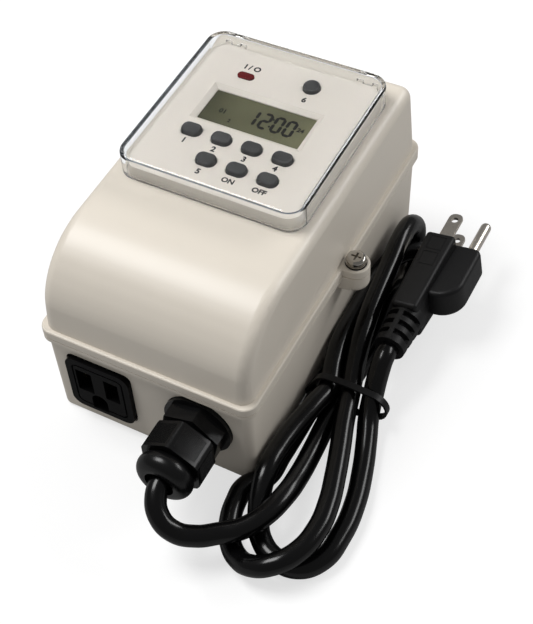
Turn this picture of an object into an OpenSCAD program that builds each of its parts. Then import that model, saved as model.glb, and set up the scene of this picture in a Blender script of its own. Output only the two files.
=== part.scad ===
// Wall box of an irrigation controller: a digital timer behind a clear flip cover, a switched
// outlet and a corded supply. The box lies on its wall face. The outlet and the gland look along
// -Y, the timer faces up, and the origin is the middle of the wall face.

/* [Case] */
// Width across the rim where base and lid meet
case_w = 100; // [96:1:112]
// Length across the rim
case_l = 166; // [164:1:180]
// Height of the joint between base and lid above the wall face
seam_z = 48.6; // [47:0.2:54]
// Height of the lid's flat top
lid_z = 91.5; // [90:0.5:96]
// Wall thickness of base and lid
wall = 2.4; // [2:0.1:2.8]
// How far the rim stands out of the base's walls
rim_out = 2; // [1.8:0.1:2.4]
// Radius of the rim's corners
rim_r = 6; // [5:0.5:8]
// Thickness of the rim on the base
base_rim_t = 1.8; // [1.4:0.1:2.6]
// Thickness of the rim on the lid
lid_rim_t = 4.4; // [3.8:0.1:5]
// How much narrower the base is at its floor, on each side
draft = 0.6; // [0.2:0.1:1]
// Radius of the edge round the base's floor
floor_edge_r = 1.5; // [1:0.25:3]
// Radius of the lid's upper edges
lid_edge_r = 5.5; // [5:0.5:6.5]
// Length of the lid's curved front, from the front wall back to the flat top
nose_l = 34; // [30:1:38]
// Height of the lid's curved front
nose_h = 30.5; // [26:0.5:32]

/* [Lid fasteners] */
// Distance from the rim to each screw's centre
lug_out = 3.5; // [3:0.1:4.5]
// Place of both screws along the case
lug_y = 5; // [-10:1:20]
// Radius of the lugs
lug_r = 6; // [5.5:0.1:7]
// Depth of the lugs under the base's rim
lug_h = 7.4; // [6:0.2:9]
// Radius of the lid screws' thread
screw_r = 2; // [1.5:0.1:2.2]
// Radius of the lid screws' heads
screw_head_r = 4.2; // [3.9:0.1:4.6]

/* [Wall fixing] */
// Distance between the wall screws across the case
fix_w = 72; // [68:1:74]
// Distance between the wall screws along the case
fix_l = 104; // [100:1:108]
// Radius of the wall screws' holes
fix_r = 2.3; // [1.8:0.1:2.6]

/* [Timer] */
// Width of the raised platform round the timer
platform_w = 78.8; // [77:0.2:82]
// Length of the raised platform
platform_l = 82.1; // [80:0.5:84]
// Height of the platform above the lid
platform_h = 5.6; // [5:0.2:7]
// Distance from the rim's back edge to the platform
platform_back = 21.8; // [20:0.2:24]
// Thickness of the timer's face plate
face_t = 2; // [1.8:0.1:2.4]
// Width of the display opening
lcd_w = 47; // [44:0.5:50]
// Height of the display opening, along the case
lcd_l = 19; // [17:0.5:20]
// Width of a key
key_w = 8.6; // [8:0.1:9.2]
// Length of a key
key_l = 6.2; // [5.6:0.1:6.6]
// How far the keys stand out of the face plate
key_proud = 2; // [1.2:0.1:2.2]
// How far a key goes down
key_travel = 1; // [0.6:0.1:1]
// Clearance round each key
key_gap = 0.4; // [0.3:0.05:0.5]

/* [Clear cover] */
// Width of the clear cover
cover_w = 84; // [83.6:0.2:88]
// Length of the clear cover
cover_l = 87.3; // [87:0.1:90]
// Thickness of the clear cover
cover_t = 1.6; // [1.4:0.1:1.8]
// Height of the clear cover's top above the lid
cover_h = 11.1; // [10.8:0.1:13]
// Radius of the cover's hinge pins
pin_r = 0.8; // [0.7:0.05:0.9]
// Radial clearance of the cover on its pins
pin_gap = 0.05; // [0.03:0.01:0.08]

/* [Outlet] */
// Width of the outlet block
outlet_w = 31; // [30:0.5:33]
// Height of the outlet block
outlet_h = 32; // [31:0.5:33]
// Place of the outlet's middle across the case
outlet_x = -23.25; // [-25:0.25:-22]
// Height of the outlet's middle
outlet_z = 24.55; // [24:0.25:26]
// How far the outlet stands out of the wall
outlet_proud = 2.2; // [1.6:0.1:3]

/* [Cable gland] */
// Place of the gland across the case
gland_x = 24.1; // [24.1:0.1:24.2]
// Height of the gland
gland_z = 29.4; // [29.3:0.1:29.4]
// Radius of the gland's flange
gland_flange_r = 15.4; // [14.8:0.1:16.4]
// Distance across the flats of the gland's nut
gland_af = 25.6; // [24.8:0.2:27]
// Radius of the gland's thread
gland_thread_r = 10.1; // [9.8:0.1:10.3]
// Diameter of the supply cord
cord_d = 9; // [8.8:0.1:9]

/* [Hidden] */
$fn = 48;
hull_fn = 32;
eps = 0.01;

// Case
base_w = case_w - 2 * rim_out;
base_l = case_l - 2 * rim_out;
front_y = -base_l / 2;
wall_in_y = front_y + wall;
base_r = rim_r - rim_out;
base_rim_z = seam_z - base_rim_t;
rim_top_z = seam_z + lid_rim_t;
cavity_w = base_w - 2 * wall;
cavity_l = base_l - 2 * wall;
fit_gap = 0.3;
skirt_t = 1.6;
skirt_h = 3;
shelf_t = 2;
skirt_r = rim_r - 1.9;
shelf_r = rim_r + 0.5;
skirt_w = cavity_w - 2 * fit_gap;
skirt_l = cavity_l - 2 * fit_gap;
gasket_w = 1.8;
gasket_t = 1.2;
gasket_in = 1.8;
lid_foot_w = case_w - 3;
lid_foot_l = case_l - 3;
lid_top_w = case_w - 4.8;
lid_front_y = -case_l / 2 + 3;
lid_back_y = case_l / 2 - 7;
nose_z = lid_z - nose_h;
lid_in_z = lid_z - wall;

// Lid screws
lug_x = case_w / 2 + lug_out;
lug_foot_r = 4;
washer_t = 0.6;
head_h = 2.6;
head_edge_r = 1.2;
insert_r = screw_r + 0.9;
insert_h = 6;
head_z = rim_top_z + 2 * washer_t;

// Wall fixing
fix_y = 10;
fix_boss_r = fix_r + 2.7;
fix_boss_h = 2;

// Timer stack, from the face plate down
platform_y = case_l / 2 - platform_back - platform_l / 2;
platform_z = lid_z + platform_h;
platform_r = 6;
platform_rim = 0.95;
face_z = platform_z - face_t;
face_gap = 0.05;
face_w = platform_w - 2 * platform_rim - 2 * face_gap;
face_l = platform_l - 2 * platform_rim - 2 * face_gap;
face_r = platform_r - platform_rim;
ledge = 2.4;
bay_w = face_w - 2 * ledge;
bay_l = face_l - 2 * ledge;
bay_r = 3;
lcd_x = -1.6;
lcd_y = platform_y + 4.9;
bevel_w = 2.3;
bevel_t = 1.5;
window_t = 1;
window_z = face_z - window_t;
panel_t = 1.4;
panel_z = window_z - 0.1 - panel_t;
panel_over = 1;
board_t = 1.6;
board_top_z = panel_z - 2.5;
board_z = board_top_z - board_t;
housing_t = 1.6;
housing_gap = 0.3;
housing_w = bay_w - 2 * housing_gap;
housing_l = bay_l - 2 * housing_gap;
housing_z = board_z - 14.5;
housing_top_z = face_z - housing_gap;
flange_t = 1.6;
flange_out = 2;
board_w = housing_w - 2 * housing_t - 0.6;
board_l = housing_l - 2 * housing_t - 0.6;
boss_x = board_w / 2 - 3.5;
boss_dy = board_l / 2 - 3.5;
boss_r = 2.8;
timer_screw_r = 1;
timer_screw_gap = 0.2;
led_x = -17.1;
led_y = platform_y + 24.85;
led_w = 7.7;
led_l = 3.8;
led_r = 1.5;

// Keys: name order is the order of KEY_AT
key_row_1 = platform_y - 13.75;
key_row_2 = platform_y - 26.85;
KEY_AT = [[-22, key_row_1], [-8, key_row_1], [6, key_row_1], [20, key_row_1],
    [-8, key_row_2], [6, key_row_2], [20, key_row_2]];
key_r = 2.7;
key_flange = 0.8;
key_flange_t = 1;
round_key_at = [11.9, platform_y + 29.35];
round_key_r = 3.6;
stem_r = 1.4;
stem_gap = 0.4;
switch_w = 6;
switch_h = 2.4;
switch_floor = 0.6;
key_top_z = platform_z + key_proud;
key_seat_z = face_z - fit_gap;
stem_z = key_seat_z - key_flange_t - 1.9;

// Clear cover and its hinge
cover_z = lid_z + fit_gap;
cover_top_z = lid_z + cover_h;
cover_r = 8;
cover_edge_r = 1.5;
cover_y = platform_y;
cover_back_y = cover_y + cover_l / 2;
hinge_y = cover_back_y - 1.4;
hinge_z = lid_z + 2.7;
knuckle_r = 1.9;
knuckle_x = 31.5;
knuckle_l = 4.4;
post_t = 2.3;
post_gap = 0.25;
post_clear = 0.9;
skirt_cut_y = hinge_y - 1.4;
skirt_cut_z = hinge_z - 0.6;

// Outlet
outlet_face_y = front_y - outlet_proud;
outlet_depth = 26;
outlet_back_y = outlet_face_y + outlet_depth;
outlet_cut = 0.25;
outlet_r = 5;
outlet_hole_r = 3.5;
SLOTS = [[-7, 7.8, 13.4], [6.3, 6.9, 12.8]];
slot_z = 2.8;
slot_depth = 20;
earth_x = -1.2;
earth_z = -11.2;
earth_w = 7.8;
earth_h = 6;
leaf_t = 0.8;
leaf_l = 15;

// Gland, measured outward from the wall
washer_y = 1;
flange_y = 2;
collar_y = 9;
nut_y0 = 10.7;
nut_y1 = 23.8;
dome_y = 33;
collar_af = gland_af - 0.8;
gland_bore_r = cord_d / 2 + 2.4;
outer_thread_r = gland_thread_r - 0.4;
seal_r = outer_thread_r - 0.9;
dome_hole_r = cord_d / 2 + 2;
dome_edge_r = 5;
nut_strip = 0.72;
thread_in = 11;
locknut_t = 5;
cord_in = 5;

// Power board in the base
pboard_w = 60;
pboard_l = 86;
pboard_y = 23;
standoff_h = 6;
pboard_z = wall + standoff_h;
pboard_top_z = pboard_z + board_t;
pboard_hole_x = pboard_w / 2 - 4;
pboard_hole_y = pboard_l / 2 - 4;
pscrew_r = 1.4;
block_y = -14;
block_h = 12;
block_pitch = 9;
header_y = 2;
ribbon_w = 12;
ribbon_t = 1;

// Plug, at its front face
plug_at = [76.1, 49.5, 25];
plug_roll = -9;
plug_half_w = 6.8;
plug_half_h = 12;
plug_wing = 18.6;
plug_wing_h = 6.2;
plug_edge_r = 1.8;
plug_l = 43;
relief_l = 17;
relief_r0 = 7.9;
relief_r1 = 6.8;
blade_pitch = 12.7;
blade_w = 6.35;
blade_t = 1.5;
blade_l = 17.5;
blade_in = 10;
ground_r = 2.4;
ground_l = 21.4;
ground_dx = 11.9;

// Supply cord, from inside the gland to the plug
cord_r = cord_d / 2;
CORD = [
    [24.1, -76, 29.4], [24.1, -112, 29.4], [25, -118, 27.8], [29, -123.5, 24], [36, -125, 19.5],
    [44, -121.5, 16.5], [50.5, -116, 15], [57.5, -110, 14.6], [62.8, -101, 14.5], [65.8, -88, 13.5],
    [65.8, -76, 10.5], [64.5, -60, 7.2], [63.4, -46, 6.2], [63.2, -32, 6.2], [63.3, -18, 6],
    [64.2, -4, 7.5], [65, 9, 11.8], [64.5, 21, 15], [63.2, 31, 11.6], [61.6, 39.5, 7],
    [60, 46, 4.9], [58.4, 54, 4.6], [57, 62, 8.5], [56.4, 65, 15.8], [55.8, 60.5, 23],
    [56, 52, 26.5], [58, 28, 25.2], [61.2, -2, 21.5],
    [64.4, -18, 17.5], [68.2, -32, 14.1], [72, -46, 13.4], [76, -58, 13.4], [80, -71, 13.8],
    [83.3, -84, 14], [84.4, -96, 14], [82.2, -108, 14], [76, -117, 13.3], [67.5, -120, 9.5],
    [59.5, -117.5, 5.6], [52.8, -111.5, 4.6], [48.6, -103.5, 4.6], [46.6, -95, 4.6], [46.6, -87, 4.6],
    [52.4, -78.6, 4.6], [53, -66, 4.6], [53.8, -32, 6.2], [53.4, -16, 5.2],
    [55, 8, 4.6], [60.5, 17, 4.6], [67.5, 24.5, 4.6], [74.2, 32, 4.7],
    [77.5, 41, 5.4], [75.3, 49.5, 7.6], [69, 54.7, 11], [61.4, 53, 15], [55.7, 46.5, 15.8],
    [53.2, 36, 16.6], [52.8, 6, 17], [53.4, -10, 16.4], [55.6, -21, 15.2],
    [58.6, -32, 14.1], [57.2, -44, 14.5], [54.8, -58, 14.4], [53.8, -70, 14.4], [54, -80, 14],
    [55.4, -89, 10.5], [58.4, -97.5, 5.4], [63.8, -105.5, 4.6], [73, -110.8, 4.6], [82.6, -110.4, 4.6],
    [89.4, -103, 4.6], [91.4, -90, 4.6], [90.4, -75, 4.6], [86.3, -58, 4.8], [82, -45, 6.6],
    [78.8, -36, 9.8], [77.2, -28, 15], [76.4, -21.3, 21], [76.1, -15.5, 25], [76.1, -10.5, 25]
];
// Where each strand passes the tie, and the radius of the room it needs there
TIE_AT = [[53.8, 6.2, 4.9], [63.2, 6.2, 4.9], [78, 12.4, 6.9], [58.6, 14.1, 5.6], [68.2, 14.1, 5.8]];
tie_y = -32;
tie_w = 3;
tie_t = 1;

// Shapes that repeat

// Flat outline with round corners, about the origin
module round_rect(w, l, r) {
    square([w - 2 * r, l], center = true);
    square([w, l - 2 * r], center = true);
    for (x = [-1, 1], y = [-1, 1])
        translate([x * (w / 2 - r), y * (l / 2 - r)]) circle(r = r);
}

// Upright block with round corners, standing on z = 0
module round_block(w, l, h, r) {
    linear_extrude(height = h) round_rect(w, l, r);
}

// Four posts at the corners of a rectangle, from z0 to z1, for hulls
module corner_posts(w, l, r, z0, z1) {
    for (x = [-1, 1], y = [-1, 1])
        translate([x * (w / 2 - r), y * (l / 2 - r), z0]) cylinder(r = r, h = z1 - z0, $fn = hull_fn);
}

// Block with round corners whose upper edge is rounded by edge, standing on z = 0
module soft_block(w, l, h, r, edge) {
    hull() for (a = [0 : 30 : 90])
        corner_posts(w - 2 * edge * (1 - cos(a)), l - 2 * edge * (1 - cos(a)), r - edge * (1 - cos(a)),
            0, h - edge * (1 - sin(a)));
}

// Open ring of a flat section, standing on z = 0
module ring_block(w, l, h, r, t) {
    linear_extrude(height = h) difference() {
        round_rect(w, l, r);
        round_rect(w - 2 * t, l - 2 * t, r - t);
    }
}

// Children at both lid screws
module at_lugs() {
    for (s = [-1, 1])
        translate([s * lug_x, lug_y, 0]) children();
}

// Children turned so that their z axis points out of the front wall, at the gland's axis
module at_gland() {
    translate([gland_x, front_y, gland_z]) rotate([90, 0, 0]) children();
}

// Children at the four timer screws
module at_timer_bosses() {
    for (x = [-1, 1], y = [-1, 1])
        translate([x * boss_x, platform_y + y * boss_dy, 0]) children();
}

// Swept round tubes: unit vectors, a carried normal and one ring of points per station
function unit(v) = v / norm(v);
function heading(p, i) = unit(p[min(i + 1, len(p) - 1)] - p[max(i - 1, 0)]);
function flatten_to(n, t) = unit(n - (n * t) * t);
function tube_ring(c, t, n, r, sides) =
    [for (k = [0 : sides - 1]) c + r * cos(360 * k / sides) * n + r * sin(360 * k / sides) * cross(t, n)];
function tube_normals(p) =
    [for (i = 0, n = flatten_to([0.3, 0.1, 1], heading(p, 0)); i < len(p); i = i + 1, n = i < len(p) ? flatten_to(n, heading(p, i)) : n) n];

module tube(p, r, sides) {
    n = tube_normals(p);
    rings = [for (i = [0 : len(p) - 1]) each tube_ring(p[i], heading(p, i), n[i], r, sides)];
    sides_a = [for (i = [0 : len(p) - 2], k = [0 : sides - 1])
        [i * sides + k, i * sides + (k + 1) % sides, (i + 1) * sides + k]];
    sides_b = [for (i = [0 : len(p) - 2], k = [0 : sides - 1])
        [i * sides + (k + 1) % sides, (i + 1) * sides + (k + 1) % sides, (i + 1) * sides + k]];
    cap_a = [[for (k = [sides - 1 : -1 : 0]) k]];
    cap_b = [[for (k = [0 : sides - 1]) (len(p) - 1) * sides + k]];
    polyhedron(points = rings, faces = concat(sides_a, sides_b, cap_a, cap_b));
}

// Case

// Tapered tub with a rounded floor edge: d is how far inside the outer surface it lies
module base_form(d) {
    edge = max(floor_edge_r - d, 0.5);
    hull() {
        corner_posts(base_w - 2 * d, base_l - 2 * d, base_r - d, base_rim_z - 0.5, base_rim_z + base_rim_t / 2);
        for (a = [0 : 22.5 : 90])
            translate([0, -draft / 2, 0])
                corner_posts(base_w - 2 * (d + draft) - 2 * edge * (1 - sin(a)),
                    base_l - 2 * d - draft - 2 * edge * (1 - sin(a)), base_r - d - edge * (1 - sin(a)),
                    d + edge * (1 - cos(a)), base_rim_z);
    }
}

// Lug under the rim: a barrel with a rounded foot and a web to the wall
module base_lug() {
    translate([0, 0, seam_z - lug_h - base_rim_t]) {
        rotate_extrude() {
            square([lug_r - lug_foot_r, lug_h + base_rim_t]);
            translate([0, lug_foot_r]) square([lug_r, lug_h + base_rim_t - lug_foot_r]);
            intersection() {
                translate([lug_r - lug_foot_r, lug_foot_r]) circle(r = lug_foot_r);
                square([lug_r, 2 * lug_foot_r]);
            }
        }
    }
}

// Web from the wall to a lug, between two heights; s is the side
module lug_web(s, z0, z1) {
    translate([0, lug_y, z0]) linear_extrude(height = z1 - z0)
        polygon([[s * (base_w / 2 - wall), -lug_r - 0.8], [s * case_w / 2, -lug_r - 0.6], [s * lug_x, -lug_r],
            [s * lug_x, lug_r], [s * case_w / 2, lug_r + 0.6], [s * (base_w / 2 - wall), lug_r + 0.8]]);
}

module base_box() {
    color([0.88, 0.85, 0.80]) difference() {
        union() {
            difference() {
                union() {
                    base_form(0);
                    translate([0, 0, base_rim_z]) round_block(case_w, case_l, base_rim_t, rim_r);
                    at_lugs() base_lug();
                    for (s = [-1, 1]) lug_web(s, seam_z - lug_h, seam_z);
                }
                base_form(wall);
                translate([0, 0, base_rim_z - eps])
                    round_block(cavity_w, cavity_l, base_rim_t + 1, max(base_r - wall, 0.5));
            }
            for (x = [-1, 1], y = [-1, 1]) {
                translate([x * fix_w / 2, fix_y + y * fix_l / 2, wall / 2])
                    cylinder(r = fix_boss_r, h = wall / 2 + fix_boss_h);
                translate([x * pboard_hole_x, pboard_y + y * pboard_hole_y, wall / 2])
                    cylinder(r = 3, h = pboard_z - wall / 2);
            }
        }
        // Wall screws, board screws, thread inserts, gasket groove, outlet and gland
        for (x = [-1, 1], y = [-1, 1]) {
            translate([x * fix_w / 2, fix_y + y * fix_l / 2, -1]) cylinder(r = fix_r, h = wall + fix_boss_h + 2);
            translate([x * pboard_hole_x, pboard_y + y * pboard_hole_y, wall]) cylinder(r = pscrew_r, h = standoff_h + 1);
        }
        at_lugs() translate([0, 0, seam_z - insert_h]) cylinder(r = insert_r, h = insert_h + 1);
        translate([0, 0, seam_z - gasket_t])
            ring_block(case_w - 2 * gasket_in, case_l - 2 * gasket_in, gasket_t + 1, rim_r - 1, gasket_w);
        translate([outlet_x, front_y - 1, outlet_z]) rotate([-90, 0, 0])
            round_block(outlet_w + 2 * outlet_cut, outlet_h + 2 * outlet_cut, wall + 2, outlet_hole_r);
        at_gland() translate([0, 0, -wall - 1]) cylinder(r = gland_thread_r + 0.1, h = wall + 2);
    }
}

// Outer or inner surface of the lid: d is how far inside the outer surface it lies
module lid_form(d) {
    r = lid_edge_r - d;
    hull() {
        corner_posts(lid_foot_w - 2 * d, lid_foot_l - 2 * d, rim_r - d, seam_z - (d > 0 ? 1 : 0), rim_top_z + 0.8);
        for (s = [-1, 1]) {
            for (a = [0 : 15 : 90])
                translate([s * (lid_top_w / 2 - lid_edge_r),
                        lid_front_y + nose_l - (nose_l - lid_edge_r) * cos(a),
                        nose_z + (nose_h - lid_edge_r) * sin(a)])
                    sphere(r = r, $fn = hull_fn);
            translate([s * (lid_top_w / 2 - lid_edge_r), lid_back_y - lid_edge_r, lid_z - lid_edge_r])
                sphere(r = r, $fn = hull_fn);
        }
    }
}

// Post that carries a hinge pin, from the lid's top, rounded over the pin
module hinge_post(x) {
    translate([x, 0, 0]) {
        translate([-post_t / 2, hinge_y - knuckle_r, lid_z - wall / 2])
            cube([post_t, 2 * knuckle_r, hinge_z - lid_z + wall / 2]);
        translate([-post_t / 2, hinge_y, hinge_z]) rotate([0, 90, 0]) cylinder(r = knuckle_r, h = post_t);
    }
}

module lid() {
    post_dx = (knuckle_l + post_t) / 2 + post_gap;
    color([0.89, 0.86, 0.81]) difference() {
        union() {
            difference() {
                union() {
                    lid_form(0);
                    translate([0, 0, seam_z]) soft_block(case_w, case_l, lid_rim_t, rim_r, 1);
                    at_lugs() translate([0, 0, seam_z]) cylinder(r = lug_r, h = lid_rim_t);
                    for (s = [-1, 1]) lug_web(s, seam_z, rim_top_z);
                    translate([0, platform_y, lid_z - 1])
                        round_block(platform_w, platform_l, platform_h + 1, platform_r);
                }
                lid_form(wall);
            }
            // Skirt that drops inside the base's walls, and the shelf that carries it
            translate([0, 0, seam_z - skirt_h]) ring_block(skirt_w, skirt_l, skirt_h + shelf_t, skirt_r, skirt_t);
            translate([0, 0, seam_z]) ring_block(skirt_w + 5, skirt_l + 5, shelf_t, shelf_r, skirt_t + 2.5);
            for (s = [-1, 1], p = [-1, 1]) hinge_post(s * knuckle_x + p * post_dx);
        }
        // Timer bay and the seat of its face plate
        translate([0, platform_y, lid_in_z - 4]) round_block(bay_w, bay_l, platform_h + wall + 6, bay_r);
        translate([0, platform_y, face_z])
            round_block(face_w + 2 * face_gap, face_l + 2 * face_gap, face_t + 1, face_r);
        at_lugs() translate([0, 0, seam_z - 1]) cylinder(r = screw_r + 0.25, h = lid_rim_t + 2);
        // Room for the cover's knuckles, and the bores of its pins
        for (s = [-1, 1]) {
            translate([s * knuckle_x - knuckle_l / 2 - post_gap, hinge_y, hinge_z]) rotate([0, 90, 0])
                cylinder(r = knuckle_r + fit_gap, h = knuckle_l + 2 * post_gap);
            translate([s * knuckle_x - post_dx - post_t, hinge_y, hinge_z]) rotate([0, 90, 0])
                cylinder(r = pin_r, h = 2 * (post_dx + post_t));
        }
    }
}

module lid_gasket() {
    color([0.12, 0.12, 0.13]) translate([0, 0, seam_z - gasket_t])
        ring_block(case_w - 2 * gasket_in, case_l - 2 * gasket_in, gasket_t, rim_r - 1, gasket_w);
}

module lid_screws() {
    shank = head_z - seam_z + insert_h - 0.5;
    color([0.70, 0.68, 0.64]) at_lugs() translate([0, 0, head_z]) difference() {
        union() {
            translate([0, 0, -shank]) cylinder(r = screw_r, h = shank + eps);
            rotate_extrude() {
                square([screw_head_r - head_edge_r, head_h]);
                square([screw_head_r, head_h - head_edge_r]);
                translate([screw_head_r - head_edge_r, head_h - head_edge_r]) circle(r = head_edge_r);
            }
        }
        for (a = [0, 90]) rotate([0, 0, a]) translate([-2.2, -0.45, head_h - 1.4]) cube([4.4, 0.9, 2]);
    }
}

module screw_washers() {
    color([0.75, 0.74, 0.72]) at_lugs() translate([0, 0, rim_top_z + washer_t]) difference() {
        cylinder(r = screw_head_r + 0.3, h = washer_t);
        translate([0, 0, -1]) cylinder(r = screw_r + 0.2, h = washer_t + 2);
    }
}

module screw_seals() {
    color([0.08, 0.08, 0.09]) at_lugs() translate([0, 0, rim_top_z]) difference() {
        cylinder(r = screw_head_r + 0.5, h = washer_t);
        translate([0, 0, -1]) cylinder(r = screw_r + 0.2, h = washer_t + 2);
    }
}

module thread_inserts() {
    color([0.80, 0.65, 0.35]) at_lugs() translate([0, 0, seam_z - insert_h]) difference() {
        cylinder(r = insert_r, h = insert_h);
        translate([0, 0, -1]) cylinder(r = screw_r, h = insert_h + 2);
    }
}

// Timer

module timer_face() {
    color([0.90, 0.88, 0.84]) difference() {
        union() {
            translate([0, platform_y, face_z]) round_block(face_w, face_l, face_t, face_r);
            at_timer_bosses() translate([0, 0, board_top_z]) cylinder(r = boss_r, h = face_z - board_top_z + eps);
        }
        hull() {
            translate([lcd_x, lcd_y, platform_z - bevel_t]) cube([lcd_w, lcd_l, eps], center = true);
            translate([lcd_x, lcd_y, platform_z + eps]) cube([lcd_w + 2 * bevel_w, lcd_l + 2 * bevel_w, eps], center = true);
        }
        translate([lcd_x - lcd_w / 2, lcd_y - lcd_l / 2, face_z - 1]) cube([lcd_w, lcd_l, face_t + 2]);
        translate([led_x, led_y, face_z - 1]) round_block(led_w + 0.2, led_l + 0.2, face_t + 2, led_l / 2 - eps);
        for (p = KEY_AT)
            translate([p[0], p[1], face_z - 1])
                round_block(key_w + 2 * key_gap, key_l + 2 * key_gap, face_t + 2, key_r + key_gap);
        translate([round_key_at[0], round_key_at[1], face_z - 1]) cylinder(r = round_key_r + key_gap, h = face_t + 2);
        at_timer_bosses() translate([0, 0, board_top_z - 1]) cylinder(r = timer_screw_r, h = face_z - board_top_z + 0.8);
    }
}

module timer_housing() {
    color([0.86, 0.84, 0.80]) difference() {
        union() {
            difference() {
                union() {
                    translate([0, platform_y, housing_z])
                        round_block(housing_w, housing_l, housing_top_z - housing_z, bay_r);
                    translate([0, platform_y, lid_in_z - flange_t - housing_gap])
                        round_block(housing_w + 2 * (flange_out + housing_gap), housing_l + 2 * (flange_out + housing_gap),
                            flange_t, bay_r);
                }
                translate([0, platform_y, housing_z + housing_t])
                    round_block(housing_w - 2 * housing_t, housing_l - 2 * housing_t, 40, bay_r - housing_t);
            }
            at_timer_bosses() translate([0, 0, housing_z]) cylinder(r = boss_r, h = board_z - housing_z);
        }
        at_timer_bosses() translate([0, 0, housing_z - 1])
            cylinder(r = timer_screw_r + timer_screw_gap, h = board_z - housing_z + 2);
        translate([-ribbon_w / 2 - 1, header_y - 3, housing_z - 1]) cube([ribbon_w + 2, 6, housing_t + 2]);
    }
}

module timer_board() {
    color([0.10, 0.35, 0.20]) difference() {
        translate([-board_w / 2, platform_y - board_l / 2, board_z]) cube([board_w, board_l, board_t]);
        at_timer_bosses() translate([0, 0, board_z - 1]) cylinder(r = timer_screw_r + timer_screw_gap, h = board_t + 2);
    }
}

module timer_screws() {
    color([0.70, 0.70, 0.70]) at_timer_bosses() {
        translate([0, 0, housing_z - 1.4]) cylinder(r = 2, h = 1.4);
        translate([0, 0, housing_z - eps]) cylinder(r = timer_screw_r, h = face_z - 0.6 - housing_z);
    }
}

module timer_chip() {
    color([0.10, 0.10, 0.10]) translate([6, platform_y + 8, board_z - 1.6]) cube([10, 10, 1.6]);
}

module backup_cell() {
    color([0.75, 0.75, 0.75]) translate([-18, platform_y + 16, board_z - 5.4]) cylinder(r = 5.8, h = 5.4);
}

module lcd_panel() {
    color([0.45, 0.47, 0.38]) translate([lcd_x, lcd_y, panel_z + panel_t / 2])
        cube([lcd_w + 2 * panel_over, lcd_l + 2 * panel_over, panel_t], center = true);
}

module lcd_window() {
    color([0.60, 0.62, 0.58, 0.4]) translate([lcd_x, lcd_y, window_z + window_t / 2])
        cube([lcd_w + 4 * panel_over, lcd_l + 4 * panel_over, window_t], center = true);
}

module lcd_connectors() {
    color([0.90, 0.55, 0.60]) for (s = [-1, 1])
        translate([lcd_x, lcd_y + s * (lcd_l / 2 - 0.5), (board_top_z + panel_z) / 2])
            cube([lcd_w, 2, panel_z - board_top_z], center = true);
}

module led_lens() {
    color([0.45, 0.03, 0.04]) translate([led_x, led_y, 0]) {
        translate([0, 0, face_z - 0.8]) round_block(led_w + 1.6, led_l + 1.6, 0.8, led_l / 2);
        translate([0, 0, face_z - eps]) round_block(led_w, led_l, face_t + 0.5, led_l / 2 - eps);
    }
}

module led_lamp() {
    color([0.80, 0.10, 0.10]) translate([led_x, led_y, board_top_z]) {
        cylinder(r = led_r, h = 2.2);
        translate([0, 0, 2.2]) sphere(r = led_r);
    }
}

module key_switches() {
    spots = concat(KEY_AT, [round_key_at]);
    color([0.20, 0.20, 0.22]) for (p = spots)
        translate([p[0], p[1], board_top_z]) difference() {
            translate([-switch_w / 2, -switch_w / 2, 0]) cube([switch_w, switch_w, switch_h]);
            translate([0, 0, switch_floor]) cylinder(r = stem_r + stem_gap, h = switch_h);
        }
}

// Key with a soft top, a flange that stops it under the face plate, and a stem for its switch
module key(p) {
    color([0.35, 0.35, 0.36]) translate([p[0], p[1], 0]) {
        translate([0, 0, key_seat_z - eps]) soft_block(key_w, key_l, key_top_z - key_seat_z, key_r, 0.8);
        translate([0, 0, key_seat_z - key_flange_t])
            round_block(key_w + 2 * key_flange, key_l + 2 * key_flange, key_flange_t, key_r);
        translate([0, 0, stem_z]) cylinder(r = stem_r, h = key_seat_z - stem_z - 0.5);
    }
}

module button_day() { key(KEY_AT[0]); }
module button_hour() { key(KEY_AT[1]); }
module button_minute() { key(KEY_AT[2]); }
module button_clock() { key(KEY_AT[3]); }
module button_program() { key(KEY_AT[4]); }
module button_on() { key(KEY_AT[5]); }
module button_off() { key(KEY_AT[6]); }

module button_manual() {
    color([0.35, 0.35, 0.36]) translate([round_key_at[0], round_key_at[1], 0]) {
        translate([0, 0, key_seat_z - eps]) rotate_extrude() {
            square([round_key_r - 0.8, key_top_z - key_seat_z]);
            square([round_key_r, key_top_z - key_seat_z - 0.8]);
            translate([round_key_r - 0.8, key_top_z - key_seat_z - 0.8]) circle(r = 0.8);
        }
        translate([0, 0, key_seat_z - key_flange_t]) cylinder(r = round_key_r + key_flange, h = key_flange_t);
        translate([0, 0, stem_z]) cylinder(r = stem_r, h = key_seat_z - stem_z - 0.5);
    }
}

// Flat cable that bows on its way from the timer's board to the header
module ribbon_cable() {
    z0 = pboard_top_z + 6;
    steps = 12;
    bow = 2;
    path = [for (i = [0 : steps]) [header_y + bow * sin(360 * i / steps), z0 + (board_z - z0) * i / steps]];
    color([0.75, 0.75, 0.72]) translate([-ribbon_w / 2, 0, 0]) rotate([90, 0, 90])
        linear_extrude(height = ribbon_w)
            polygon(concat([for (p = path) [p[0] - ribbon_t / 2, p[1]]],
                [for (i = [steps : -1 : 0]) [path[i][0] + ribbon_t / 2, path[i][1]]]));
}

// Power board

module power_board() {
    color([0.45, 0.38, 0.20]) difference() {
        translate([-pboard_w / 2, pboard_y - pboard_l / 2, pboard_z]) cube([pboard_w, pboard_l, board_t]);
        for (x = [-1, 1], y = [-1, 1])
            translate([x * pboard_hole_x, pboard_y + y * pboard_hole_y, pboard_z - 1]) cylinder(r = pscrew_r, h = board_t + 2);
    }
}

module board_screws() {
    color([0.70, 0.70, 0.70]) for (x = [-1, 1], y = [-1, 1])
        translate([x * pboard_hole_x, pboard_y + y * pboard_hole_y, 0]) {
            translate([0, 0, wall + 0.5]) cylinder(r = pscrew_r, h = pboard_top_z - wall);
            translate([0, 0, pboard_top_z]) cylinder(r = 2.6, h = 2);
        }
}

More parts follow.
